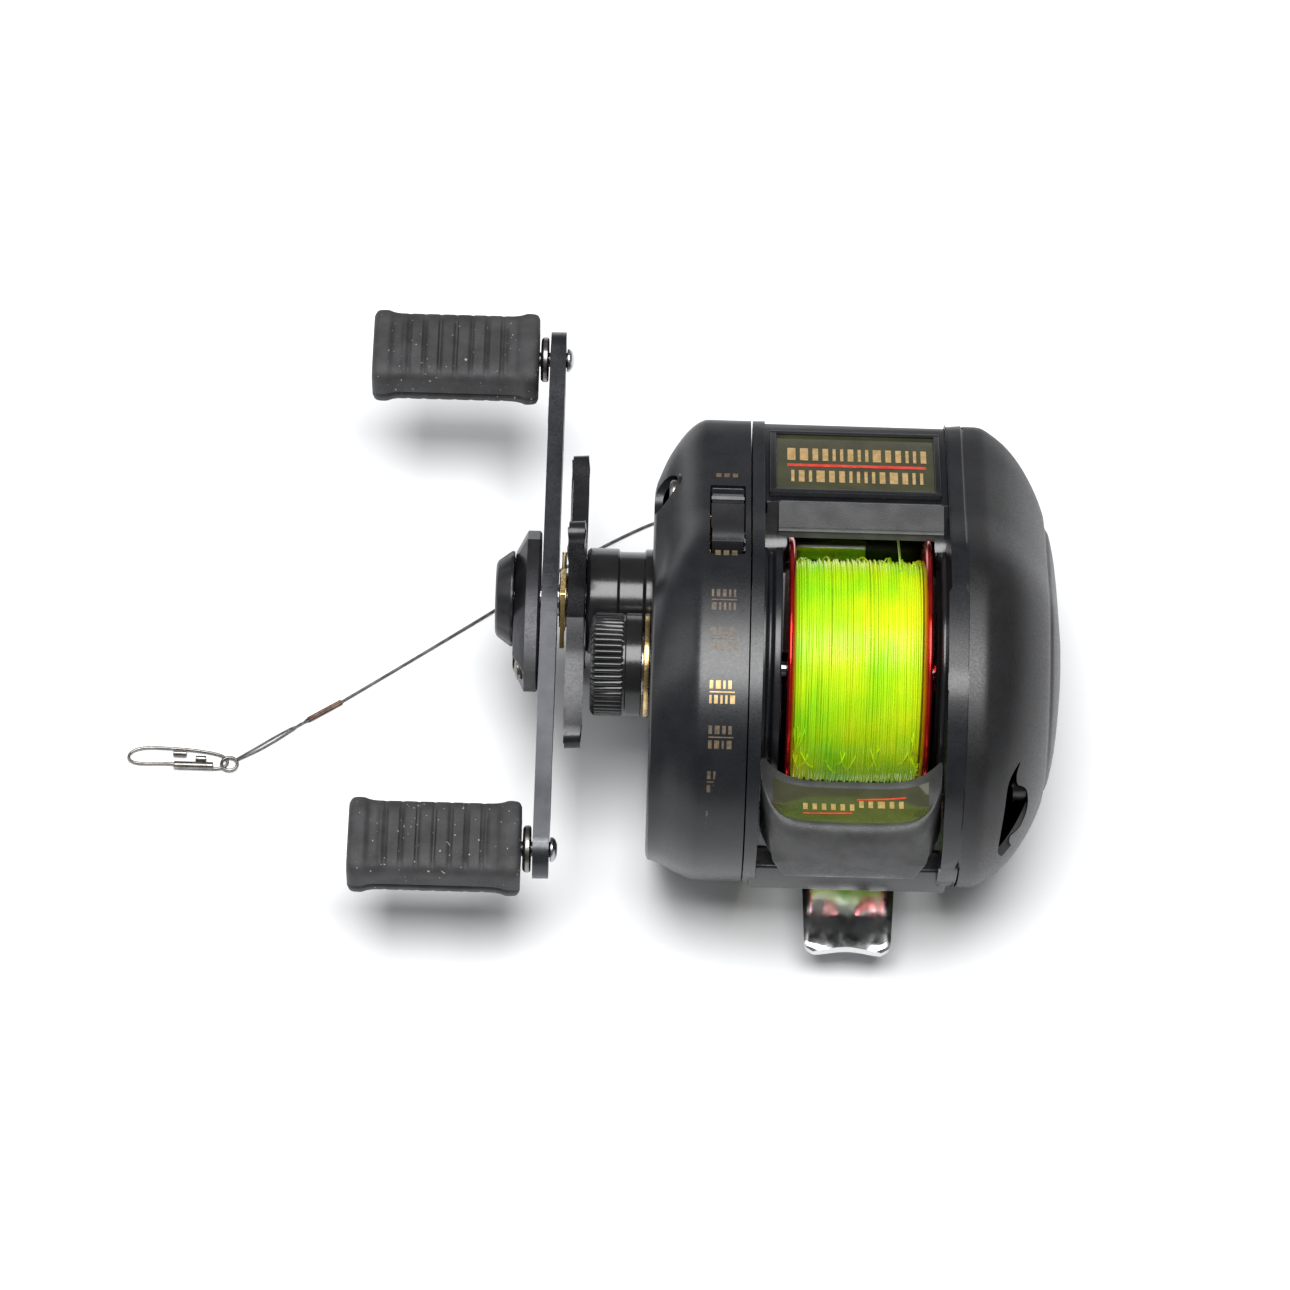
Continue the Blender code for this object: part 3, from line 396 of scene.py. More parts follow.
def prism(name, outlines, low, high, plane="YZ", bevel=0.0, segments=3):
    """Flat outlines with thickness across plane, YZ or XY. Holes follow the outside outline."""
    curve = bpy.data.curves.new(name, "CURVE")
    curve.dimensions = "2D"
    curve.fill_mode = "BOTH"
    curve.extrude = (high - low) / 2 * MM
    for outline in outlines:
        spline = curve.splines.new("POLY")
        spline.points.add(len(outline) - 1)
        for point, (a, b) in zip(spline.points, outline):
            point.co = (a * MM, b * MM, 0, 1)
        spline.use_cyclic_u = True
    guide = bpy.data.objects.new(name, curve)
    bpy.context.scene.collection.objects.link(guide)
    graph = bpy.context.evaluated_depsgraph_get()
    mesh = bpy.data.meshes.new_from_object(guide.evaluated_get(graph))
    bpy.data.objects.remove(guide)
    work = bmesh.new()
    work.from_mesh(mesh)
    bmesh.ops.remove_doubles(work, verts=work.verts, dist=1e-6)
    bmesh.ops.dissolve_limit(work, angle_limit=0.002, verts=work.verts, edges=work.edges)
    middle = (low + high) / 2
    if plane == "YZ":
        turn = Matrix(((0, 0, 1, 0), (1, 0, 0, 0), (0, 1, 0, 0), (0, 0, 0, 1)))
        turn = Matrix.Translation(at(middle, 0, 0)) @ turn
    else:
        turn = Matrix.Translation(at(0, 0, middle))
    work.transform(turn)
    if bevel:
        edges = [e for e in work.edges if e.is_manifold and e.calc_face_angle(0) > math.radians(30)]
        bmesh.ops.bevel(work, geom=edges, offset=bevel * MM, segments=segments, profile=0.5,
                        affect="EDGES", clamp_overlap=True)
    return finished(work, name)


def block(low, high, bevel=0.0, tilt=0.0):
    """A box, turned about X by tilt round its own middle."""
    work = bmesh.new()
    bmesh.ops.create_cube(work, size=1)
    size = Vector(high) - Vector(low)
    bmesh.ops.scale(work, vec=size * MM, verts=work.verts)
    if bevel:
        bmesh.ops.bevel(work, geom=work.edges[:], offset=bevel * MM, segments=3, profile=0.5,
                        affect="EDGES")
    place = Matrix.Translation(at(*(Vector(low) + size / 2))) @ Matrix.Rotation(tilt, 4, "X")
    work.transform(place)
    return finished(work, "block")


def combine(base, operation, *meshes):
    """base's mesh joined with, or cut by, each of the other meshes."""
    for mesh in meshes:
        tool = bpy.data.objects.new("tool", mesh)
        bpy.context.scene.collection.objects.link(tool)
        step = base.modifiers.new("shape", "BOOLEAN")
        step.operation = operation
        step.object = tool
        graph = bpy.context.evaluated_depsgraph_get()
        shaped = bpy.data.meshes.new_from_object(base.evaluated_get(graph))
        base.modifiers.clear()
        base.data = shaped
        bpy.data.objects.remove(tool)
    base.data.shade_smooth()
    base.data.set_sharp_from_angle(angle=math.radians(30))
    return base


def wire(name, routes, radius, look, body, *nodes, cyclic=False, sides=3):
    """Round wires along routes of places in millimetres."""
    curve = bpy.data.curves.new(name, "CURVE")
    curve.dimensions = "3D"
    curve.bevel_depth = radius * MM
    curve.bevel_resolution = sides
    curve.use_fill_caps = not cyclic
    for route in routes:
        spline = curve.splines.new("POLY")
        spline.points.add(len(route) - 1)
        for point, place in zip(spline.points, route):
            point.co = (*at(*place), 1)
        spline.use_cyclic_u = cyclic
    return piece(name, curve, look, body, *nodes)


def smooth_path(points, spacing, cyclic=False):
    """A smooth curve through the given points, read off at an even spacing."""
    fine_steps = 24
    count = len(points)
    spans = count if cyclic else count - 1

    def near(i):
        return Vector(points[i % count] if cyclic else points[min(max(i, 0), count - 1)])

    fine = []
    for i in range(spans):
        a, b, c, d = near(i - 1), near(i), near(i + 1), near(i + 2)
        for k in range(fine_steps):
            t = k / fine_steps
            fine.append(
                0.5 * (2 * b + (c - a) * t + (2 * a - 5 * b + 4 * c - d) * t * t
                       + (3 * b - a - 3 * c + d) * t ** 3)
            )
    fine.append(near(0) if cyclic else near(count - 1))
    lengths = [0.0]
    for a, b in zip(fine, fine[1:]):
        lengths.append(lengths[-1] + (b - a).length)
    steps = max(2, round(lengths[-1] / spacing))
    even = []
    index = 0
    for k in range(steps if cyclic else steps + 1):
        target = lengths[-1] * k / steps
        while index < len(fine) - 2 and lengths[index + 1] < target:
            index += 1
        share = (target - lengths[index]) / max(lengths[index + 1] - lengths[index], 1e-9)
        even.append(fine[index].lerp(fine[index + 1], min(share, 1.0)))
    return even


def smooth_outline(points, spacing):
    return [(p.x, p.y) for p in smooth_path([(a, b, 0) for a, b in points], spacing, cyclic=True)]


def side_outline(scale=1.0, shift=0.0, spacing=1.1):
    """The side plates' outline, shrunk to SIDE_CENTRE, with its bottom flat on the table."""
    cy, cz = SIDE_CENTRE
    found = []
    for y, z in smooth_outline(SIDE_POINTS, spacing):
        found.append((cy + (y - cy) * scale + shift, cz + (max(z, BASE_Z) - cz) * scale))
    return found


def slope_z(y, below=0.0):
    """The height of the front's slope at y."""
    return SLOPE_START[1] + SLOPE * (y - SLOPE_START[0]) - below


# Leader: the cord and what is on it ------------------------------------------

LEADER_ROUTE = [
    (6.4, 35.6, -1.6), (6.2, 39.6, -5.2), (5.4, 44.8, -14.5), (3.6, 49.2, -25.2), (-1.0, 52.2, -31.5),
    (-7.0, 52.4, -32.4), (-15.0, 51.0, -32.4), (-24.5, 48.6, -32.4), (-33.5, 45.4, -32.4),
    (-46.5, 37.2, -32.4), (-59.2, 27.6, -32.4), (-71.5, 18.4, -32.4), (-82.9, 10.0, -32.4),
]
LOOP_ROUTE = [(-87.9, 6.6, -32.3), (-91.3, 4.2, -32.3), (-95.6, 1.1, -32.3), (-99.3, -1.3, -32.3)]
SNAP_ROUTE = [
    (-100.7, -1.9, -32.25), (-102.2, -0.5, -32.25), (-107.5, 0.3, -32.25), (-114.4, 0.4, -32.25),
    (-116.8, -1.0, -32.25), (-115.6, -2.4, -32.25), (-109.5, -2.4, -32.25), (-102.6, -3.1, -32.25),
]
WIRE_R = 0.23


def make_leader():
    route = smooth_path(LEADER_ROUTE, 1.0)
    leader = wire("leader_cable", [route], WIRE_R, "wire", "guide", "leader_wire")
    on_it = [make_sleeve(), make_loop(), make_swivel()] + make_snap()


def make_sleeve():
    start, stop = Vector(LEADER_ROUTE[-1]), Vector(LOOP_ROUTE[0])
    routes = []
    for side in (-0.16, 0.16):
        across = (stop - start).cross(Vector((0, 0, 1))).normalized() * side
        routes.append([start.lerp(stop, t) + across for t in (-0.02, 0.35, 0.65, 1.02)])
    sleeve = wire("crimp_sleeve", routes, 0.3, "crimp", "guide", "leader_sleeve")
    return sleeve


def make_loop():
    """The wire's doubled end: two strands side by side that open round the snap's eye."""
    middle = smooth_path(LOOP_ROUTE, 0.5)
    count = len(middle)
    strands = []
    for side in (-1, 1):
        strand = []
        for i, place in enumerate(middle):
            ahead = middle[min(i + 1, count - 1)] - middle[max(i - 1, 0)]
            across = ahead.cross(Vector((0, 0, 1))).normalized()
            share = i / (count - 1)
            knot = max(0, 1 - share * 3)
            turn = 2 * math.pi * share * 4
            gap = 0.2 * math.cos(turn) * knot + 0.34 * (1 - knot) * math.sin(0.9 * math.pi * share)
            lift = 0.17 * math.sin(turn) * knot
            strand.append(place + across * gap * side + Vector((0, 0, lift * side)))
        strands.append(strand)
    loop = wire("leader_loop_strands", strands, 0.16, "wire", "guide", "leader_loop")
    return loop


def make_snap():
    """A wire snap: one long bail, an eye, a tube round its shank and two hooks."""
    bail = smooth_path(SNAP_ROUTE, 0.5, cyclic=True)
    snap = wire("snap_bail", [bail], 0.24, "dark_steel", "guide", "leader_snap", cyclic=True)
    eye = [Vector((-100.4 + 1.3 * math.cos(t), -2.2 + 1.2 * math.sin(t), -32.1))
           for t in [2 * math.pi * i / 18 for i in range(18)]]
    ring_eye = wire("snap_eye", [eye], 0.26, "dark_steel", "guide", cyclic=True)
    middle_z = -31.95
    tube = [(-109.4, 0), (-109.4, 0.62), (-103.0, 0.62), (-103.0, 0)]
    parts = [lathe("snap_clip", softened(tube, 0.15), (0, -2.75, middle_z), 28)]
    for low, high, y in ((-109.6, -107.4, -0.6), (-105.9, -104.2, -1.5)):
        parts.append(lathe("hook", softened(ring(low, high, 0.5, 0.2), 0.1), (0, y, middle_z), 24))
    clip = piece("snap_clip", merged("snap_clip", parts), "dark_steel", "guide")
    return [snap, ring_eye, clip]


def make_swivel():
    centre = Vector((6.4, 32.6, 0.1))
    tilt = Matrix.Rotation(-math.radians(26), 4, "X")
    body = lathe("swivel", softened([(2.1, 0), (2.0, 0.7), (1.4, 1.1), (-1.4, 1.1), (-2.0, 0.7),
                                     (-2.1, 0)], 0.3), steps=32, along="Y")
    body.transform(Matrix.Translation(at(*centre)) @ tilt @ Matrix.Translation(-at(0, 0, 0)))
    swivel = piece("line_swivel", body, "dark_steel", "guide", "leader_swivel")
    return swivel


# Shared shapes ---------------------------------------------------------------

def merged(name, meshes):
    """One mesh that holds several, each still its own closed shell."""
    work = bmesh.new()
    for mesh in meshes:
        work.from_mesh(mesh)
        bpy.data.meshes.remove(mesh)
    mesh = bpy.data.meshes.new(name)
    work.to_mesh(mesh)
    work.free()
    return mesh


def solid(name, look, body, slot, mesh, *nodes, sharp=35):
    """A finished piece from one mesh, or from a list of meshes."""
    mesh = merged(name, mesh) if isinstance(mesh, list) else mesh
    made = piece(name, mesh, look, body, *nodes, sharp=sharp)
    return made


def patch(place, across, along, columns=2, rows=6):
    """A thin mark over a surface: place(u, v) with u over across and v over along, in millimetres."""
    work = bmesh.new()
    grid = []
    for j in range(rows + 1):
        v = along[0] + (along[1] - along[0]) * j / rows
        line = []
        for i in range(columns + 1):
            u = across[0] + (across[1] - across[0]) * i / columns
            line.append(work.verts.new(at(*place(u, v))))
        grid.append(line)
    for lower, upper in zip(grid, grid[1:]):
        for i in range(columns):
            work.faces.new((lower[i], lower[i + 1], upper[i + 1], upper[i]))
    mesh = bpy.data.meshes.new("mark")
    work.to_mesh(mesh)
    work.free()
    return mesh


def moved(mesh, centre, turn):
    """A mesh made round the spool's middle, turned there and put with its middle at centre."""
    home = Matrix.Translation(-at(0, 0, 0))
    mesh.transform(Matrix.Translation(at(*centre)) @ turn @ home)
    return mesh


def slotted_screw(x, y, z, radius, height=1.0, slot_angle=0.6, facing=-1):
    """A domed head facing along X, with a slot across it."""
    rows = [(0, radius), (0.55 * height, radius), (0.85 * height, 0.86 * radius),
            (height, 0.55 * radius), (height, 0)]
    head = lathe("screw", [(x + facing * a, r) for a, r in [(0, 0)] + rows], (0, y, z), 36)
    obj = bpy.data.objects.new("screw", head)
    bpy.context.scene.collection.objects.link(obj)
    groove = block((-0.35, -radius - 0.2, -0.22), (0.35, radius + 0.2, 0.22))
    moved(groove, (x + facing * height, y, z), Matrix.Rotation(slot_angle, 4, "X"))
    combine(obj, "DIFFERENCE", groove)
    mesh = obj.data
    bpy.data.objects.remove(obj)
    return mesh


# Frame, foot and front trim --------------------------------------------------

PLATE_LEFT = (-17.1, -15.2)    # the ring on the handle side, along X
PLATE_RIGHT = (13.6, 16.3)     # the ring on the palm side
BAR = (-16.2, 14.9)            # the bars that join the two rings


def make_frame():
    """One casting: two side rings, the spool's left face, three bars and the front hood."""
    side = side_outline(spacing=1.0)
    left = prism("left", [side, circle(5.3), circle(3.3, (CRANK_Y, CRANK_Z)),
                          circle(2.3, (WORM_Y, WORM_Z))], *PLATE_LEFT, bevel=0.3)
    right = prism("right", [side, circle(21.5, count=96)], *PLATE_RIGHT, bevel=0.3)
    disc_face = softened([
        (-15.6, 6.2), (-15.6, 21.0), (-14.6, 21.0), (-14.3, 20.3), (-13.7, 20.3), (-13.4, 21.0),
        (-12.2, 21.0), (-12.2, 18.2), (-13.0, 17.4), (-13.0, 6.2), (-15.6, 6.2),
    ], 0.25)
    left_disc = lathe("left_disc", disc_face, steps=128)
    well = []
    for i in range(25):
        y = 13 - 26 * i / 24
        well.append((y, -math.sqrt(21.9 ** 2 - y * y)))
    lower = prism("lower", [[(-13, -22.7), (13, -22.7)] + well], *BAR, bevel=0.2)
    rear = prism("rear", [[(-31.6, -14.5), (-28.6, -15.5), (-28.4, -6.6), (-32.0, -6.6)]], *BAR,
                 bevel=0.5)
    front = prism("front", [[(27.6, -17), (31.4, -17), (33.4, -13.4), (27.6, -13.4)]], *BAR,
                  bevel=0.5)
    hood_outline = [
        (14.4, 16.6), (19.0, 16.6), (20.4, slope_z(20.4, 1.4)), (40.4, slope_z(40.4, 1.4)),
        (41.9, 6.2), (42.2, 3.0), (40.8, 2.8), (40.4, 5.2), (39.0, slope_z(39.0, 3.0)),
        (21.6, slope_z(21.6, 3.2)), (20.4, 13.0), (17.2, 13.6),
    ]
    hood = prism("hood", [hood_outline], *BAR, bevel=0.3)
    solid("frame_body", "body", "reel_body", "satin_black",
          [left, right, left_disc, lower, rear, front, hood], "frame")


def make_spool_side_ribs():
    """Rings on the inside of the palm side, round the spool's flange."""
    profile = softened([
        (11.9, 2.2), (11.9, 17.6), (12.4, 18.0), (12.4, 20.4), (12.8, 20.9), (13.5, 20.9),
        (13.7, 20.3), (14.1, 20.3), (14.3, 20.9), (15.0, 20.9), (15.2, 20.4), (15.9, 20.4),
        (15.9, 2.2), (11.9, 2.2),
    ], 0.18)
    hub = softened(ring(15.8, 28.0, 6.0, 5.3), 0.2)
    solid("palm_plate", "gloss", "reel_body", "satin_black",
          [lathe("ribs", profile, steps=128), lathe("hub", hub, steps=64)], "palm_inner_plate")


def make_foot():
    """A pressed plate that narrows to each tip, its ends rolled down and its rear edge waved."""
    half, tip, front_y, rear_y = 7.75, 6.8, 23.5, -36.9
    rows = []
    steps, count = 96, 36
    for i in range(steps + 1):
        y = front_y + (rear_y - front_y) * i / steps
        width = half
        if y > 9:
            width = half - 1.6 * ((y - 9) / 14.5) ** 1.6
        elif y < -12:
            width = half - (half - tip) * ((-12 - y) / 24.9) ** 1.3
        reach = min(front_y - y, y - rear_y)
        if reach < 1.5:
            width -= 1.4 * (1 - math.sqrt(max(0, 1 - (1 - reach / 1.5) ** 2)))
        lower = -0.8 * max(0, (-26 - y) / 10.9) ** 2 - 0.5 * max(0, (y - 16) / 7.5) ** 2
        ripple = min(max((-22 - y) / 12.0, 0), 1)
        row = []
        for k in range(count + 1):
            across = -1 + 2 * k / count
            arch = -0.4 * across * across
            wave = 0.24 * ripple * math.cos(math.pi * across * width / 4.4)
            thick = 0.35 * abs(across) ** 8
            row.append((width * across, y - 0.35 * ripple * across * across,
                        -23.0 + lower + arch + wave - thick))
        for k in range(count, -1, -1):
            x, yy, z = row[k]
            row.append((x, yy, z - 1.7 + 0.6 * abs(-1 + 2 * k / count) ** 8))
        rows.append(row)
    solid("foot_plate", "chrome", "reel_body", "chrome_foot", skin("foot", rows), "reel_foot",
          sharp=40)


def make_front_trim():
    """The bar over the spool's front with its two ends, and the badge on the hood."""
    bar = [(14.6, 16.9), (14.2, 17.5), (14.8, 18.4), (19.4, 18.5), (20.3, 17.7), (20.2, 17.0)]
    cover = prism("bar", [bar], -12.6, 12.6, bevel=0.45)
    solid("front_bar_grip", "grain", "reel_body", "textured_black", cover, "front_bar_cover")
    bracket = smooth_outline([(11.2, 13.4), (10.9, 15.4), (11.8, 16.9), (14.2, 17.6), (19.4, 17.7),
                              (21.0, 16.8), (20.8, 15.0), (16.0, 13.4)], 0.5)
    ends = []
    for low, high in ((-15.0, -12.0), (11.9, 14.8)):
        ends.append(prism("end", [bracket], low, high, bevel=0.4))
    solid("front_bar_ends", "gloss", "reel_body", "satin_black", ends)
    plate = [
        (23.4, slope_z(23.4, 1.1)), (23.4, slope_z(23.4, 0.5)),
        (38.0, slope_z(38.0, 0.5)), (38.0, slope_z(38.0, 1.1)),
    ]
    solid("badge_plate", "label", "reel_body", "nameplate_silver",
          prism("badge", [plate], -13.4, 11.8, bevel=0.15), "nameplate")
    rim = []
    for low, high, start, stop in ((-14.4, -13.3, 22.9, 38.5), (11.7, 12.7, 22.9, 38.5),
                                   (-14.4, 12.7, 22.4, 23.5), (-14.4, 12.7, 37.9, 38.7)):
        side = [(start, slope_z(start, 1.5)), (start, slope_z(start, 0.0)),
                (stop, slope_z(stop, 0.0)), (stop, slope_z(stop, 1.5))]
        rim.append(prism("rim", [side], low, high, bevel=0.2))
    solid("badge_rim", "body", "reel_body", "satin_black", rim)

    def on_badge(x, y):
        return x, y, slope_z(y, 0.44)

    gold, red = [], [patch(on_badge, (-11.6, 10.4), (29.6, 30.3), 2, 2)]
    random.seed(4)
    for row, (start, stop) in enumerate(((25.6, 28.6), (31.2, 34.4))):
        x = -11.6 if row else -11.0
        while x < 9.6:
            width = random.choice((0.5, 0.9, 1.3))
            gold.append(patch(on_badge, (x, x + width), (start, stop), 1, 2))
            x += width + 0.7
    solid("badge_gold_marks", "gold", "reel_body", "nameplate_silver", gold)
    solid("badge_red_line", "red_print", "reel_body", "nameplate_silver", red)


# Side covers -----------------------------------------------------------------

SCREW_PLACES = {"front": (26.0, 9.6, -28.8), "rear": (-20.1, -3.0, -30.9)}


COVER_SPACING = 0.9    # between the points of one row
COVER_RADIUS = 30      # turns a scale into a length, so that rows are even along the curve
COVER_WALL = 1.25


def section_rows(stations, spacing=0.45):
    """Rows of points across a cover, through (X, scale, shift along Y) stations."""
    path = smooth_path([(x, scale * COVER_RADIUS, shift) for x, scale, shift in stations], spacing)
    rows = []
    for x, scale, shift in path:
        outline = side_outline(min(scale / COVER_RADIUS, 1.0), shift, COVER_SPACING)
        rows.append([(x, y, z) for y, z in outline])
    return rows


def cover_object(name, rows, look, node):
    """A thin shell whose outside runs through the rows."""
    mesh = skin(name, rows, (False, True))
    cover = piece(name, mesh, look, "reel_body", node, sharp=30)
    step = cover.modifiers.new("wall", "SOLIDIFY")
    step.thickness = COVER_WALL * MM
    step.offset = -1
    graph = bpy.context.evaluated_depsgraph_get()
    cover.data = bpy.data.meshes.new_from_object(cover.evaluated_get(graph))
    cover.modifiers.clear()
    return cover


def on_slope(mesh):
    """Puts a mesh made round the spool's middle at the switch, level with the slope."""
    place = (-21.0, SWITCH_Y, slope_z(SWITCH_Y))
    return moved(mesh, place, Matrix.Rotation(math.atan(SLOPE), 4, "X"))


def make_handle_side():
    rows = section_rows([
        (-17.35, 1.0, 0), (-21.0, 1.0, 0), (-24.6, 1.0, 0), (-27.4, 0.96, -0.5),
        (-30.2, 0.885, -1.9), (-32.1, 0.815, -4.0),
    ])
    for x, scale, shift in ((-32.4, 0.79, -4.4), (-32.5, 0.76, -4.7)):
        rows.append([(x, y, z) for y, z in side_outline(scale, shift, COVER_SPACING)])
    cover = cover_object("handle_cover", rows, "body", "handle_side_cover")
    cuts = [
        lathe("crank_hole", disc(-38, -28, 6.3), (0, CRANK_Y, CRANK_Z), 64),
        lathe("cap_hole", disc(-38, -28, 4.9), (0, 0, 0), 48),
    ]
    cuts.append(on_slope(block((-2.8, -9.6, -3.2), (2.8, 9.6, 3.2), 0.3)))
    for y, z, seat in SCREW_PLACES.values():
        pocket = [(-40, 0), (-40, 4.6), (seat - 1.6, 3.4), (seat, 2.75), (seat, 0)]
        cuts.append(lathe("pocket", softened(pocket, 0.4), (0, y, z), 48))
    combine(cover, "DIFFERENCE", *cuts)
    seats = []
    for name, (y, z, seat) in SCREW_PLACES.items():
        floor = [(seat, 0), (seat, 3.3), (seat + 1.0, 3.3), (seat + 1.0, 0)]
        seats.append(lathe("seat", softened(floor, 0.1), (0, y, z), 40))
        slot_angle = 0.5 if name == "front" else 2.0
        head = slotted_screw(seat - 0.2, y, z, 2.3, 1.2, slot_angle)
        solid("cover_screw_head_" + name, "dark_steel", "reel_body", "steel", head,
              "cover_screw_" + name)
    solid("cover_screw_seats", "body", "reel_body", "satin_black", seats)
    boss = softened([
        (-31.6, 8.5), (-33.6, 8.5), (-33.8, 8.0), (-37.8, 8.0), (-37.9, 8.5), (-42.5, 8.5),
        (-43.0, 8.0), (-43.0, 6.3), (-31.6, 6.3), (-31.6, 8.5),
    ], 0.25)
    solid("crank_boss", "gloss", "reel_body", "satin_black",
          lathe("boss", boss, (0, CRANK_Y, CRANK_Z), 96))
    neck = softened(ring(-39.5, -31.8, 4.85, 3.0), 0.2)
    solid("cap_neck", "steel", "reel_body", "steel", lathe("neck", neck, steps=64))
    brass = softened(ring(-33.5, -32.6, 8.2, 5.3), 0.15)
    solid("bright_ring", "brass", "reel_body", "brass", lathe("ring", brass, steps=96), "brass_ring")
    make_rim_marks()


def make_rim_marks():
    """Ticks in six groups round the handle side's rim, and three at each end of the switch."""
    lift = 0.05
    top = [(y, z) for y, z in side_outline(spacing=0.25) if z > 0]
    top.sort(key=lambda p: -p[0])
    lengths = [0.0]
    for a, b in zip(top, top[1:]):
        lengths.append(lengths[-1] + math.dist(a, b))

    def on_rim(x, along):
        index = min(range(len(lengths)), key=lambda i: abs(lengths[i] - along))
        here = top[index]
        before, after = top[max(index - 1, 0)], top[min(index + 1, len(top) - 1)]
        dy, dz = after[0] - before[0], after[1] - before[1]
        size = math.hypot(dy, dz) or 1
        slide = along - lengths[index]
        return (x, here[0] + dy / size * slide - dz / size * lift,
                here[1] + dz / size * slide - dy / size * lift)

    def length_at(y):
        return lengths[min(range(len(top)), key=lambda i: abs(top[i][0] - y))]

    bold, faint = [], []
    random.seed(8)
    for number, y in enumerate((-2.5, -9.0, -17.0, -23.0, -28.0, -31.4)):
        middle = length_at(y)
        group = bold if number == 2 else faint
        for offset in (-1.25, 1.05):
            x = -23.3
            while x < -19.6:
                width = random.choice((0.35, 0.55, 0.75))
                along = (middle + offset - 0.65, middle + offset + 0.65)
                group.append(patch(on_rim, (x, x + width), along, 1, 4))
                x += width + 0.4
        group.append(patch(on_rim, (-23.3, -19.4), (middle - 0.2, middle), 1, 1))
    for y in (26.2, 6.4):
        middle = length_at(y)
        for k in range(3):
            x = -22.9 + 1.3 * k
            faint.append(patch(on_rim, (x, x + 0.85), (middle - 0.55, middle + 0.55), 1, 3))
    solid("rim_marks_bold", "gold", "reel_body", "satin_black", bold)
    solid("rim_marks_faint", "faint_gold", "reel_body", "satin_black", faint)


def make_switch():
    """A slider with a finger dish in the middle and a raised lip at its front."""
    outline = [(-7.5, -1.5), (7.5, -1.5), (7.5, 0.85), (6.9, 0.9), (6.7, 0.2), (6.1, 0.2),
               (5.9, 0.85), (4.9, 0.85), (4.7, 0.6), (3.5, 0.6), (3.4, 0.0), (3.0, 0.0)]
    for i in range(13):
        share = i / 12
        outline.append((2.9 - 10.4 * share, 0.85 - 1.3 * math.sin(math.pi * share) ** 0.8))
    switch = prism("switch", [outline], -2.45, 2.45, bevel=0.12, segments=2)
    solid("clicker_slider", "slider", "switch", "satin_black", on_slope(switch), "ar_switch")


def make_palm_side():
    """The domed palm cover: a groove round its crown and an opening over the brake's lever."""
    groove_x, groove_depth, groove_width = 30.1, 0.45, 0.28
    rows = section_rows([
        (16.55, 1.0, 0), (18.4, 1.0, 0), (20.2, 0.985, 0), (23.6, 0.915, 0), (26.6, 0.81, 0),
        (29.2, 0.665, 0), (31.2, 0.47, 0), (32.2, 0.24, 0), (32.5, 0.08, 0),
    ], 0.4)
    grooved = []
    for row in rows:
        x = row[0][0]
        depth = groove_depth * math.exp(-((x - groove_x) / groove_width) ** 2)
        shrunk = []
        for px, y, z in row:
            away = math.hypot(y - SIDE_CENTRE[0], z - SIDE_CENTRE[1])
            share = 1 - depth / max(away, 1)
            shrunk.append((px - 0.4 * depth, SIDE_CENTRE[0] + (y - SIDE_CENTRE[0]) * share,
                           SIDE_CENTRE[1] + (z - SIDE_CENTRE[1]) * share))
        grooved.append(shrunk)
    cover = cover_object("palm_cover", grooved, "palm", "palm_side_cover")
    opening = [
        (25.1, -13.1), (23.4, -16.3), (22.9, -21.0), (22.4, -27.0), (23.0, -28.1), (24.1, -28.4),
        (25.7, -27.8), (27.1, -26.8), (25.4, -26.8), (24.3, -26.1), (24.2, -25.0), (25.1, -24.2),
        (26.0, -23.1), (26.8, -20.5), (26.6, -18.0), (25.9, -17.1), (24.8, -16.7), (24.6, -15.0),
    ]
    recess = prism("recess", [smooth_outline(opening, 0.5)], 12.0, 34.0, "XY")
    moved(recess, (0, 0, 0), Matrix.Rotation(math.radians(30), 4, "X"))
    combine(cover, "DIFFERENCE", recess)


def make_brake_lever():
    """A ring on the spool's axis with a finger that shows in the palm cover's opening."""
    loop = lathe("lever_ring", softened(ring(24.4, 26.6, 8.6, 6.3), 0.3), steps=64)
    arm = smooth_outline([(-7.2, -1.2), (-7.4, 3.2), (-15.0, 4.4), (-21.4, 5.4), (-23.4, 4.6),
                          (-23.6, 1.8), (-21.4, 0.6), (-15.0, -0.4)], 0.7)
    finger = prism("finger", [arm], 24.5, 26.5, bevel=0.4)
    solid("casting_lever", "body", "brake", "palm_black", [loop, finger], "brake_lever")


# Cast control, star drag and crank -------------------------------------------

def knurled(count, depth, low, high):
    """A ripple for lathe(): count rounded ridges between low and high."""
    def ripple(place, turn):
        if low < place < high:
            return depth * (abs(math.cos(count * turn / 2)) ** 0.7 - 1)
        return 0
    return ripple


def make_cap():
    profile = [(-33.8, 5.2), (-33.8, 8.0), (-34.0, 8.2), (-36.3, 8.2), (-36.5, 7.95), (-36.8, 7.95),
               (-37.1, 8.15), (-41.2, 8.15), (-41.6, 7.8), (-41.9, 7.2), (-41.9, 3.0), (-41.6, 2.6),
               (-41.6, 0), (-40.0, 0), (-40.0, 5.2), (-33.8, 5.2)]
    cap = lathe("cap", profile, steps=288, ripple=knurled(48, 0.42, -41.65, -36.9))
    solid("tension_cap", "gloss", "cap", "satin_black", cap, "cast_control_cap", sharp=30)


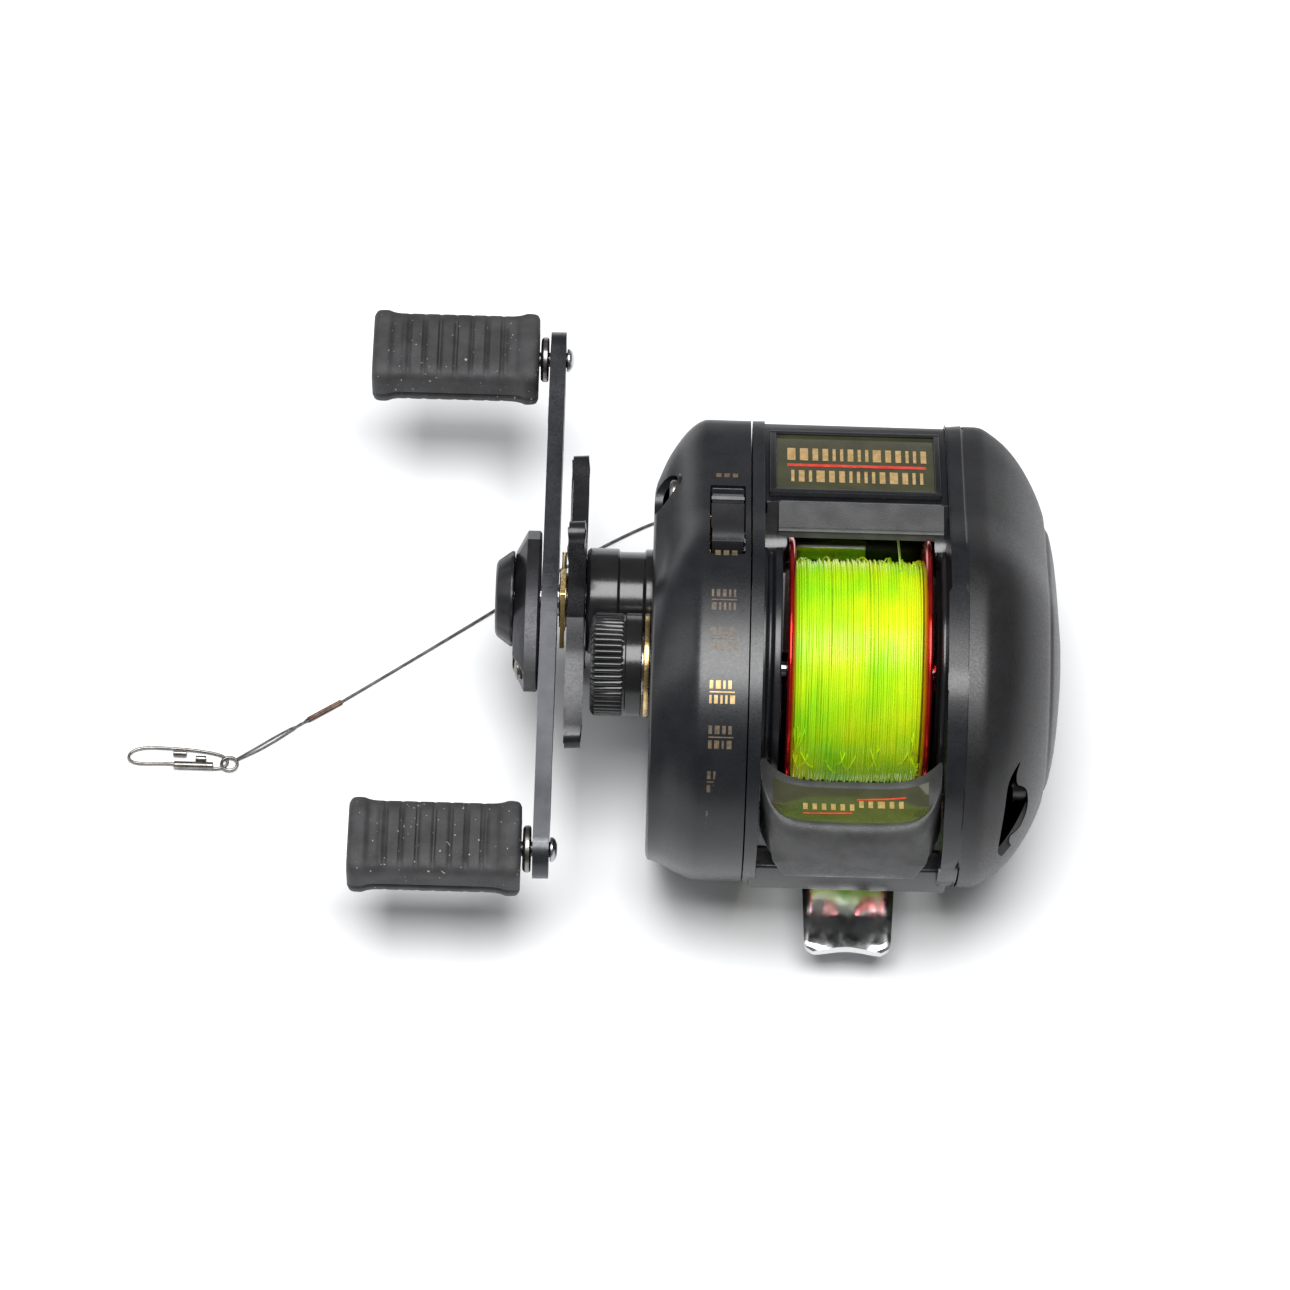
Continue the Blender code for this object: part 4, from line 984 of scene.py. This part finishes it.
def make_star():
    """Four arms that taper and end in round tips, on a boss round the crank's shaft."""
    tip_r = 1.9
    outline = []
    for arm in range(4):
        middle = math.radians(4.4 + 90 * arm)
        edge = [(9.0, 4.6), (10.4, 3.9), (12.4, 3.2), (16.0, 2.5), (20.0, 2.0), (22.8, 1.9)]
        turns = [t / 10 for t in range(14, -15, -2)]
        tip = [(24.0 + tip_r * math.cos(t), tip_r * math.sin(t)) for t in turns]
        for along, across in [(a, -b) for a, b in edge] + tip[::-1] + edge[::-1]:
            outline.append((
                CRANK_Y + along * math.cos(middle) - across * math.sin(middle),
                CRANK_Z + along * math.sin(middle) + across * math.cos(middle),
            ))
        hub = middle + math.pi / 4
        outline.append((CRANK_Y + 8.3 * math.cos(hub), CRANK_Z + 8.3 * math.sin(hub)))
    bore = circle(2.9, (CRANK_Y, CRANK_Z), 40)
    star = prism("star", [outline, bore], -45.8, -43.3, bevel=0.5)
    boss = lathe("star_boss", softened(ring(-46.0, -43.15, 6.6, 3.2), 0.25), (0, CRANK_Y, CRANK_Z), 64)
    solid("star_wheel", "star", "star", "star_black", [star, boss], "star_drag")


def on_crank(points):
    """Points along and across the crank's arm, as (Y, Z)."""
    c, s = math.cos(ARM_TILT), math.sin(ARM_TILT)
    return [(CRANK_Y + a * c - b * s, CRANK_Z + a * s + b * c) for a, b in points]


def arm_outline():
    across, end_r, count = 7.0, 4.6, 22
    upper = []
    for i in range(-count, count + 1):
        along = ARM_HALF * i / count
        share = max(0.0, 1 - abs(along) / 36)
        upper.append((along, end_r + (across - end_r) * share ** 1.3))
    turns = [t / 10 for t in range(14, -15, -2)]
    front = [(ARM_HALF + end_r * math.cos(t), end_r * math.sin(t)) for t in turns]
    return upper + front + [(a, -b) for a, b in reversed(upper)] + [(-a, -b) for a, b in front]


def make_crank():
    ends = on_crank([(ARM_HALF, 0), (-ARM_HALF, 0)])
    holes = [circle(2.9, (CRANK_Y, CRANK_Z), 40)] + [circle(1.5, end, 28) for end in ends]
    arm = prism("arm", [on_crank(arm_outline())] + holes, -50.1, -47.6, bevel=0.35)
    solid("crank_arm", "arm", "crank", "arm_metal", arm, "handle_arm")
    washer = on_crank([(-8.6, 0), (-5.2, 4.4), (-2.2, 6.4), (2.2, 6.4), (5.2, 4.4), (8.6, 0),
                       (5.2, -4.4), (2.2, -6.4), (-2.2, -6.4), (-5.2, -4.4)])
    bore = circle(4.7, (CRANK_Y, CRANK_Z), 32)
    curved = prism("washer", [washer, bore], -47.0, -46.45, bevel=0.1)
    solid("curved_washer", "brass", "crank", "brass", curved, "spring_washer")
    sleeve = softened(ring(-47.3, -46.1, 4.4, 2.9), 0.15)
    solid("drag_sleeve", "brass", "crank", "brass",
          lathe("sleeve", sleeve, (0, CRANK_Y, CRANK_Z), 48), "spacer_sleeve")
    make_hub()


def make_hub():
    """The faceted cover over the arm's middle, with its screw and the nut's cap."""
    half = [(11.6, 1.6), (7.6, 6.2), (1.5, 7.6), (-7.5, 7.2), (-14.8, 3.6)]
    lozenge = half + [(a, -b) for a, b in reversed(half)]
    levels = [(-50.4, 0.97), (-50.7, 1.0), (-52.6, 1.0), (-54.35, 0.74), (-54.5, 0.7)]
    rows = []
    for x, scale in levels:
        shrunk = [(a * scale - (1 - scale) * 2.2, b * scale) for a, b in lozenge]
        rows.append([(x, y, z) for y, z in on_crank(shrunk)])
    cover = piece("hub_shell", skin("hub", rows), "hub", "crank", "hub_cover", sharp=20)
    screw = on_crank([(-12.4, 0)])[0]
    bore = lathe("bore", disc(-58, -48, 2.9), (0, CRANK_Y, CRANK_Z), 40)
    pocket = lathe("pocket", disc(-58, -53.2, 2.2), (0, *screw), 36)
    combine(cover, "DIFFERENCE", bore, pocket)
    solid("hub_screw_head", "dark_steel", "crank", "steel",
          slotted_screw(-53.1, *screw, 1.9, 1.0, 0.9), "hub_screw")
    cap = softened([(-54.6, 2.9), (-54.6, 7.6), (-55.0, 7.7), (-57.2, 6.1), (-57.5, 5.5), (-57.5, 0),
                    (-56.8, 0), (-56.8, 2.9), (-54.6, 2.9)], 0.2)
    flats = knurled(12, 0.25, -56.9, -54.7)
    solid("handle_nut", "hub", "crank", "arm_metal",
          lathe("nut", cap, (0, CRANK_Y, CRANK_Z), 96, ripple=flats), "nut_cap")


# Knobs -----------------------------------------------------------------------

KNOB_MIDDLE_X = -65.6
KNOB_SIDES = 176       # points round one row
KNOB_STATIONS = [      # (X, half width along Y, half height)
    (-52.0, 6.2, 3.9), (-52.5, 6.85, 4.5), (-54.0, 6.98, 4.65), (-55.1, 6.7, 4.45), (-57.0, 6.55, 4.35),
    (-60.0, 6.55, 4.35), (-65.6, 6.55, 4.35), (-71.0, 6.55, 4.35), (-74.2, 6.55, 4.35),
    (-75.8, 6.7, 4.45), (-77.0, 6.98, 4.65), (-78.5, 6.85, 4.5), (-79.1, 6.1, 3.8),
]
GROOVE_PITCH = 2.55
GROOVES = [KNOB_MIDDLE_X + GROOVE_PITCH * i for i in range(-3, 4)]
END_DIPS = (-56.3, -75.2)


def bell(value, width):
    """1 within width of zero and 0 beyond it, with a soft edge."""
    return math.exp(-(value / width) ** 4)


def knob_rows(centre):
    """Sections along the rubber: raised collars, end dips, a shallow grooved dish, a parting line."""
    rows = []
    for x, half_y, half_z in smooth_path(KNOB_STATIONS, 0.26):
        row = []
        dished = 0.15 * bell(x - KNOB_MIDDLE_X, 10.4) + 0.5 * sum(bell(x - dip, 1.0) for dip in END_DIPS)
        groove = max(bell(x - g, 0.32) for g in GROOVES) * 0.5
        for i in range(KNOB_SIDES):
            turn = 2 * math.pi * (i + 0.5) / KNOB_SIDES
            c, s = math.cos(turn), math.sin(turn)
            reach = (abs(c) ** 5 + abs(s) ** 5) ** (-1 / 5)
            y, z = half_y * reach * c, half_z * reach * s
            flat = bell(y, 5.9)
            if abs(s) > 0.3:
                z -= math.copysign(dished * bell(y, 5.2) + groove * flat, z)
            if abs(c) > 0.5:
                parting = 0.45 * bell(z + 1.2, 0.4) * bell(x - KNOB_MIDDLE_X, 13.2)
                y -= math.copysign(parting, y)
            row.append((x, centre[0] + y, centre[1] + z))
        rows.append(row)
    return rows


def bore_row(x, centre, radius=1.5):
    """A round row with as many points as the knob's own rows."""
    turns = [2 * math.pi * i / KNOB_SIDES + 0.01 for i in range(KNOB_SIDES)]
    return [(x, centre[0] + radius * math.cos(t), centre[1] + radius * math.sin(t)) for t in turns]


def make_knobs():
    for name, (y, z) in KNOB_AXES.items():
        rows = knob_rows((y, z))[::-1] + [bore_row(-52.0, (y, z)), bore_row(-78.0, (y, z))]
        knob = skin("knob", rows)
        solid("grip_" + name, "rubber", name + "_knob", "rubber_knob", knob, "knob_" + name, sharp=45)
        collar = softened([(-51.7, 1.5), (-51.7, 3.3), (-51.3, 3.7), (-50.6, 3.7), (-50.4, 3.4),
                           (-50.4, 1.5), (-51.7, 1.5)], 0.12)
        solid("grip_collar_" + name, "dark_steel", "crank", "steel",
              lathe("collar", collar, (0, y, z), 56), "knob_collar_" + name)
        spindle = softened([(-46.3, 0), (-46.3, 0.9), (-46.6, 1.6), (-47.0, 1.95), (-47.4, 1.95),
                            (-47.45, 1.2), (-77.6, 1.2), (-77.6, 0)], 0.12)
        solid("grip_rivet_" + name, "steel", "crank", "steel",
              lathe("rivet", spindle, (0, y, z), 48), "knob_spindle_" + name)


# Spool and line --------------------------------------------------------------

LINE_END = 9.8         # how far the line reaches along X
LINE_TURN_POINTS = 72


def make_spool():
    """The two dished flanges and the drum in one turned part."""
    rim = [
        (11.2, 19.4), (11.2, 20.9), (10.9, 21.2), (10.5, 21.1), (10.2, 20.5), (10.0, 19.6), (9.8, 9.4),
        (-9.8, 9.4), (-10.0, 19.6), (-10.2, 20.5), (-10.5, 21.1), (-10.9, 21.2), (-11.2, 20.9),
        (-11.2, 19.4), (-9.4, 8.4), (-9.4, 3.2), (-11.0, 3.2), (-11.0, 1.5), (11.0, 1.5), (11.0, 3.2),
        (9.4, 3.2), (9.4, 8.4), (11.2, 19.4),
    ]
    solid("spool_body", "red", "spool_unit", "red_spool", lathe("spool", softened(rim, 0.15), steps=144),
          "spool")


def make_winding():
    """The filled spool: a solid core under laid turns, crossing turns and a few slack loops."""
    random.seed(21)
    core = [(9.75, 9.6), (9.95, 16.4), (8.8, 16.7), (5.0, 16.8), (-5.0, 16.8), (-8.8, 16.7),
            (-9.95, 16.4), (-9.75, 9.6), (9.75, 9.6)]
    solid("line_core", "line_core", "spool_unit", "yellow_line",
          lathe("core", softened(core, 0.3), steps=96), "line_winding")

    def bulk(x):
        return 16.95 - 0.35 * (abs(x) / LINE_END) ** 4

    def turns_of(pitch, start, stop, lift, wobble):
        """A line laid from start to stop, one pitch along X for each turn."""
        route = []
        count = max(1, int(abs(stop - start) / pitch))
        direction = 1 if stop > start else -1
        jitter = [random.uniform(-wobble, wobble) for _ in range(count + 2)]
        rise = [random.uniform(-0.05, 0.3) for _ in range(count + 2)]
        for i in range(count * LINE_TURN_POINTS):
            share = i / LINE_TURN_POINTS
            whole, part = int(share), share - int(share)
            soft = part * part * (3 - 2 * part)
            x = start + direction * pitch * share
            x += jitter[whole] * (1 - soft) + jitter[whole + 1] * soft
            x = min(max(x, -LINE_END), LINE_END)
            r = bulk(x) + lift + rise[whole] * (1 - soft) + rise[whole + 1] * soft
            turn = 2 * math.pi * share
            route.append((x, r * math.cos(turn), r * math.sin(turn)))
        return route

    base = turns_of(0.3, -9.7, 9.7, 0.0, 0.05)
    over = turns_of(0.62, 9.7, -9.7, 0.22, 0.26)
    loose = turns_of(0.95, -9.6, 9.6, 0.42, 0.6)
    turns = wire("line_turns", [base, over, loose], 0.165, "line", "spool_unit", sides=1)
    loops = []
    for i in range(64):
        if i % 2:
            x = random.uniform(-9.0, 9.0)
        else:
            x = random.choice((-9.2, 9.2)) + random.uniform(-0.5, 0.5)
        turn = random.choice((0.36, 3.0)) + random.uniform(-0.22, 0.22)
        span, high = random.uniform(0.16, 0.4), random.uniform(0.25, 0.95)
        lean = random.uniform(-1.1, 1.1)
        loop = []
        for k in range(13):
            t = -1 + 2 * k / 12
            r = 17.1 + high * (1 - t * t)
            a = turn + span * t * 0.5
            across = min(max(x + lean * t, -LINE_END), LINE_END)
            loop.append((across, r * math.cos(a), r * math.sin(a)))
        loops.append(loop)
    slack = wire("line_slack", loops, 0.13, "line", "spool_unit", sides=1)


# Thumb bar -------------------------------------------------------------------

THUMB = (-14.9, 13.3)
THUMB_MIDDLE = (THUMB[0] + THUMB[1]) / 2
THUMB_HALF = (THUMB[1] - THUMB[0]) / 2
DISH_TOP = [(-22.3, 4.2), (-24.2, 4.5), (-26.4, 5.1), (-28.8, 6.2), (-31.0, 7.4), (-32.0, 7.8)]
DISH_BACK = [(-33.2, 7.2), (-34.2, 5.4), (-34.9, 2.0), (-34.9, -3.6), (-33.4, -4.2), (-33.2, 0.6),
             (-29.5, 3.0), (-26.0, 2.2), (-22.9, 2.0)]


def bar_place(x, y, z):
    """A point of the middle section, moved to X: horns rise in front, the crest curves forward."""
    share = min(abs(x - THUMB_MIDDLE) / THUMB_HALF, 1)
    front = min(max((y + 29.0) / 6.7, 0), 1)
    crest = min(max((-27.5 - y) / 4.5, 0), 1) * min(max((z - 1) / 6.0, 0), 1)
    narrow = 1 - 0.27 * min(max((6.5 - z) / 10.0, 0), 1) * min(max((-31.5 - y) / 2.0, 0), 1)
    x = THUMB_MIDDLE + (x - THUMB_MIDDLE) * narrow
    y += 1.3 * front * share ** 4 + crest * (6.6 * share ** 8 + 0.7 * share * share)
    z += 6.0 * front ** 1.5 * share ** 5 + 2.0 * crest * share ** 4
    return x, y, z


def make_thumb_bar():
    """The dished bar, its glossy label and the marks on it."""
    section = smooth_outline(DISH_TOP + DISH_BACK, 0.5)
    xs = [THUMB[0] + 0.05, THUMB[0] + 0.2]
    xs += [THUMB[0] + 0.6 + (2 * THUMB_HALF - 1.2) * i / 56 for i in range(57)]
    xs += [THUMB[1] - 0.2, THUMB[1] - 0.05]
    middle = Vector((sum(p[0] for p in section), sum(p[1] for p in section))) / len(section)
    rows = []
    for x in xs:
        edge = min(x - THUMB[0], THUMB[1] - x)
        pinch = 0.93 if edge < 0.1 else 0.975 if edge < 0.3 else 1.0
        rows.append([bar_place(x, middle.x + (y - middle.x) * pinch, middle.y + (z - middle.y) * pinch)
                     for y, z in section])
    bar = skin("bar", rows)
    solid("thumb_release", "grain", "thumb_lever", "textured_black", bar, "thumb_bar")
    line = smooth_path([(y, z, 0) for y, z in DISH_TOP], 0.4)

    def on_dish(x, along, lift=0.1):
        index = min(int(along * (len(line) - 1)), len(line) - 2)
        part = along * (len(line) - 1) - index
        here = line[index].lerp(line[index + 1], part)
        step = (line[index + 1] - line[index]).normalized()
        return bar_place(x, here.x + step.y * lift, here.y - step.x * lift)

    def slanted(x, along):
        return on_dish(x, along - 0.05 * x / 8)

    solid("thumb_label", "label", "thumb_lever", "textured_black",
          patch(lambda x, along: on_dish(x, 0.04 + 0.9 * along, 0.06), (-12.9, 11.3), (0.0, 1.0), 56, 16))
    gold = []
    random.seed(15)
    x = -8.2
    while x < 7.4:
        width = random.choice((0.7, 1.1))
        base = 0.46 if x < -0.5 else 0.38
        gold.append(patch(on_dish, (x, x + width), (base, base + 0.16), 2, 3))
        x += width + 0.75
    red = [patch(slanted, (-8.2, -0.6), (0.66, 0.70), 12, 1),
           patch(slanted, (0.2, 7.8), (0.34, 0.37), 12, 1)]
    solid("thumb_gold_marks", "gold", "thumb_lever", "textured_black", gold)
    solid("thumb_red_lines", "red_print", "thumb_lever", "textured_black", red)


# Level wind ------------------------------------------------------------------

GUIDE_X = 6.4          # the guide's middle
EYE_RISE = 8.2         # the eye's middle above the worm's axis
LEAVE_R = 17.7         # where the line leaves the winding


def make_level_wind():
    """The slotted tube over the worm, and the carriage with the eye that the line runs through."""
    tube = softened(ring(-14.9, 13.3, 3.0, 2.3), 0.15)
    cylinder = piece("guide_tube", lathe("tube", tube, (0, WORM_Y, WORM_Z), 64), "chrome",
                     "reel_body", "levelwind_tube")
    slit = block((-12.6, WORM_Y - 0.9, WORM_Z - 4), (11.0, WORM_Y + 0.9, WORM_Z))
    combine(cylinder, "DIFFERENCE", slit)
    collar = lathe("collar", softened(ring(GUIDE_X - 4.8, GUIDE_X + 4.8, 5.0, 3.3), 0.5),
                   (0, WORM_Y, WORM_Z), 72)
    guide = piece("guide_carriage", collar, "body", "guide", "line_guide")
    plate = block((GUIDE_X - 3.2, WORM_Y - 1.0, WORM_Z + 3.8),
                  (GUIDE_X + 3.2, WORM_Y + 2.2, WORM_Z + 11.4), 0.6)
    boss = lathe("boss", softened([(-6.9, 0), (-6.9, 2.6), (-3.9, 2.6), (-3.9, 0)], 0.3),
                 (GUIDE_X, WORM_Y, WORM_Z), 40, "Z")
    combine(guide, "UNION", plate, boss)
    hole = lathe("hole", [(-4, 0), (-4, 2.3), (5, 2.3), (5, 0)],
                 (GUIDE_X, WORM_Y, WORM_Z + EYE_RISE), 40, "Y")
    pin = lathe("pin", [(-9, 0), (-9, 1.3), (-2.9, 1.3), (-2.9, 0)],
                (GUIDE_X, WORM_Y, WORM_Z), 32, "Z")
    combine(guide, "DIFFERENCE", hole, pin)
    make_line_run()


def make_line_run():
    """The line from the winding, up to the eye and through it."""
    eye_z = WORM_Z + EYE_RISE
    reach = math.hypot(WORM_Y, eye_z)
    leave = math.atan2(eye_z, WORM_Y) + math.acos(LEAVE_R / reach)
    run = [(GUIDE_X, LEAVE_R * math.cos(leave), LEAVE_R * math.sin(leave)),
           (GUIDE_X, WORM_Y - 2.5, eye_z + 1.2), (GUIDE_X, WORM_Y + 0.5, eye_z - 0.1),
           (GUIDE_X, 29.6, eye_z - 1.0)]
    line = wire("line_to_eye", [smooth_path(run, 0.6)], 0.19, "line", "guide", "line_run")


make_camera()
make_leader()
make_studio()
dress_inner_parts()
make_frame()
make_spool_side_ribs()
make_foot()
make_front_trim()
make_handle_side()
make_switch()
make_palm_side()
make_brake_lever()
make_cap()
make_star()
make_crank()
make_knobs()
make_spool()
make_winding()
make_thumb_bar()
make_level_wind()
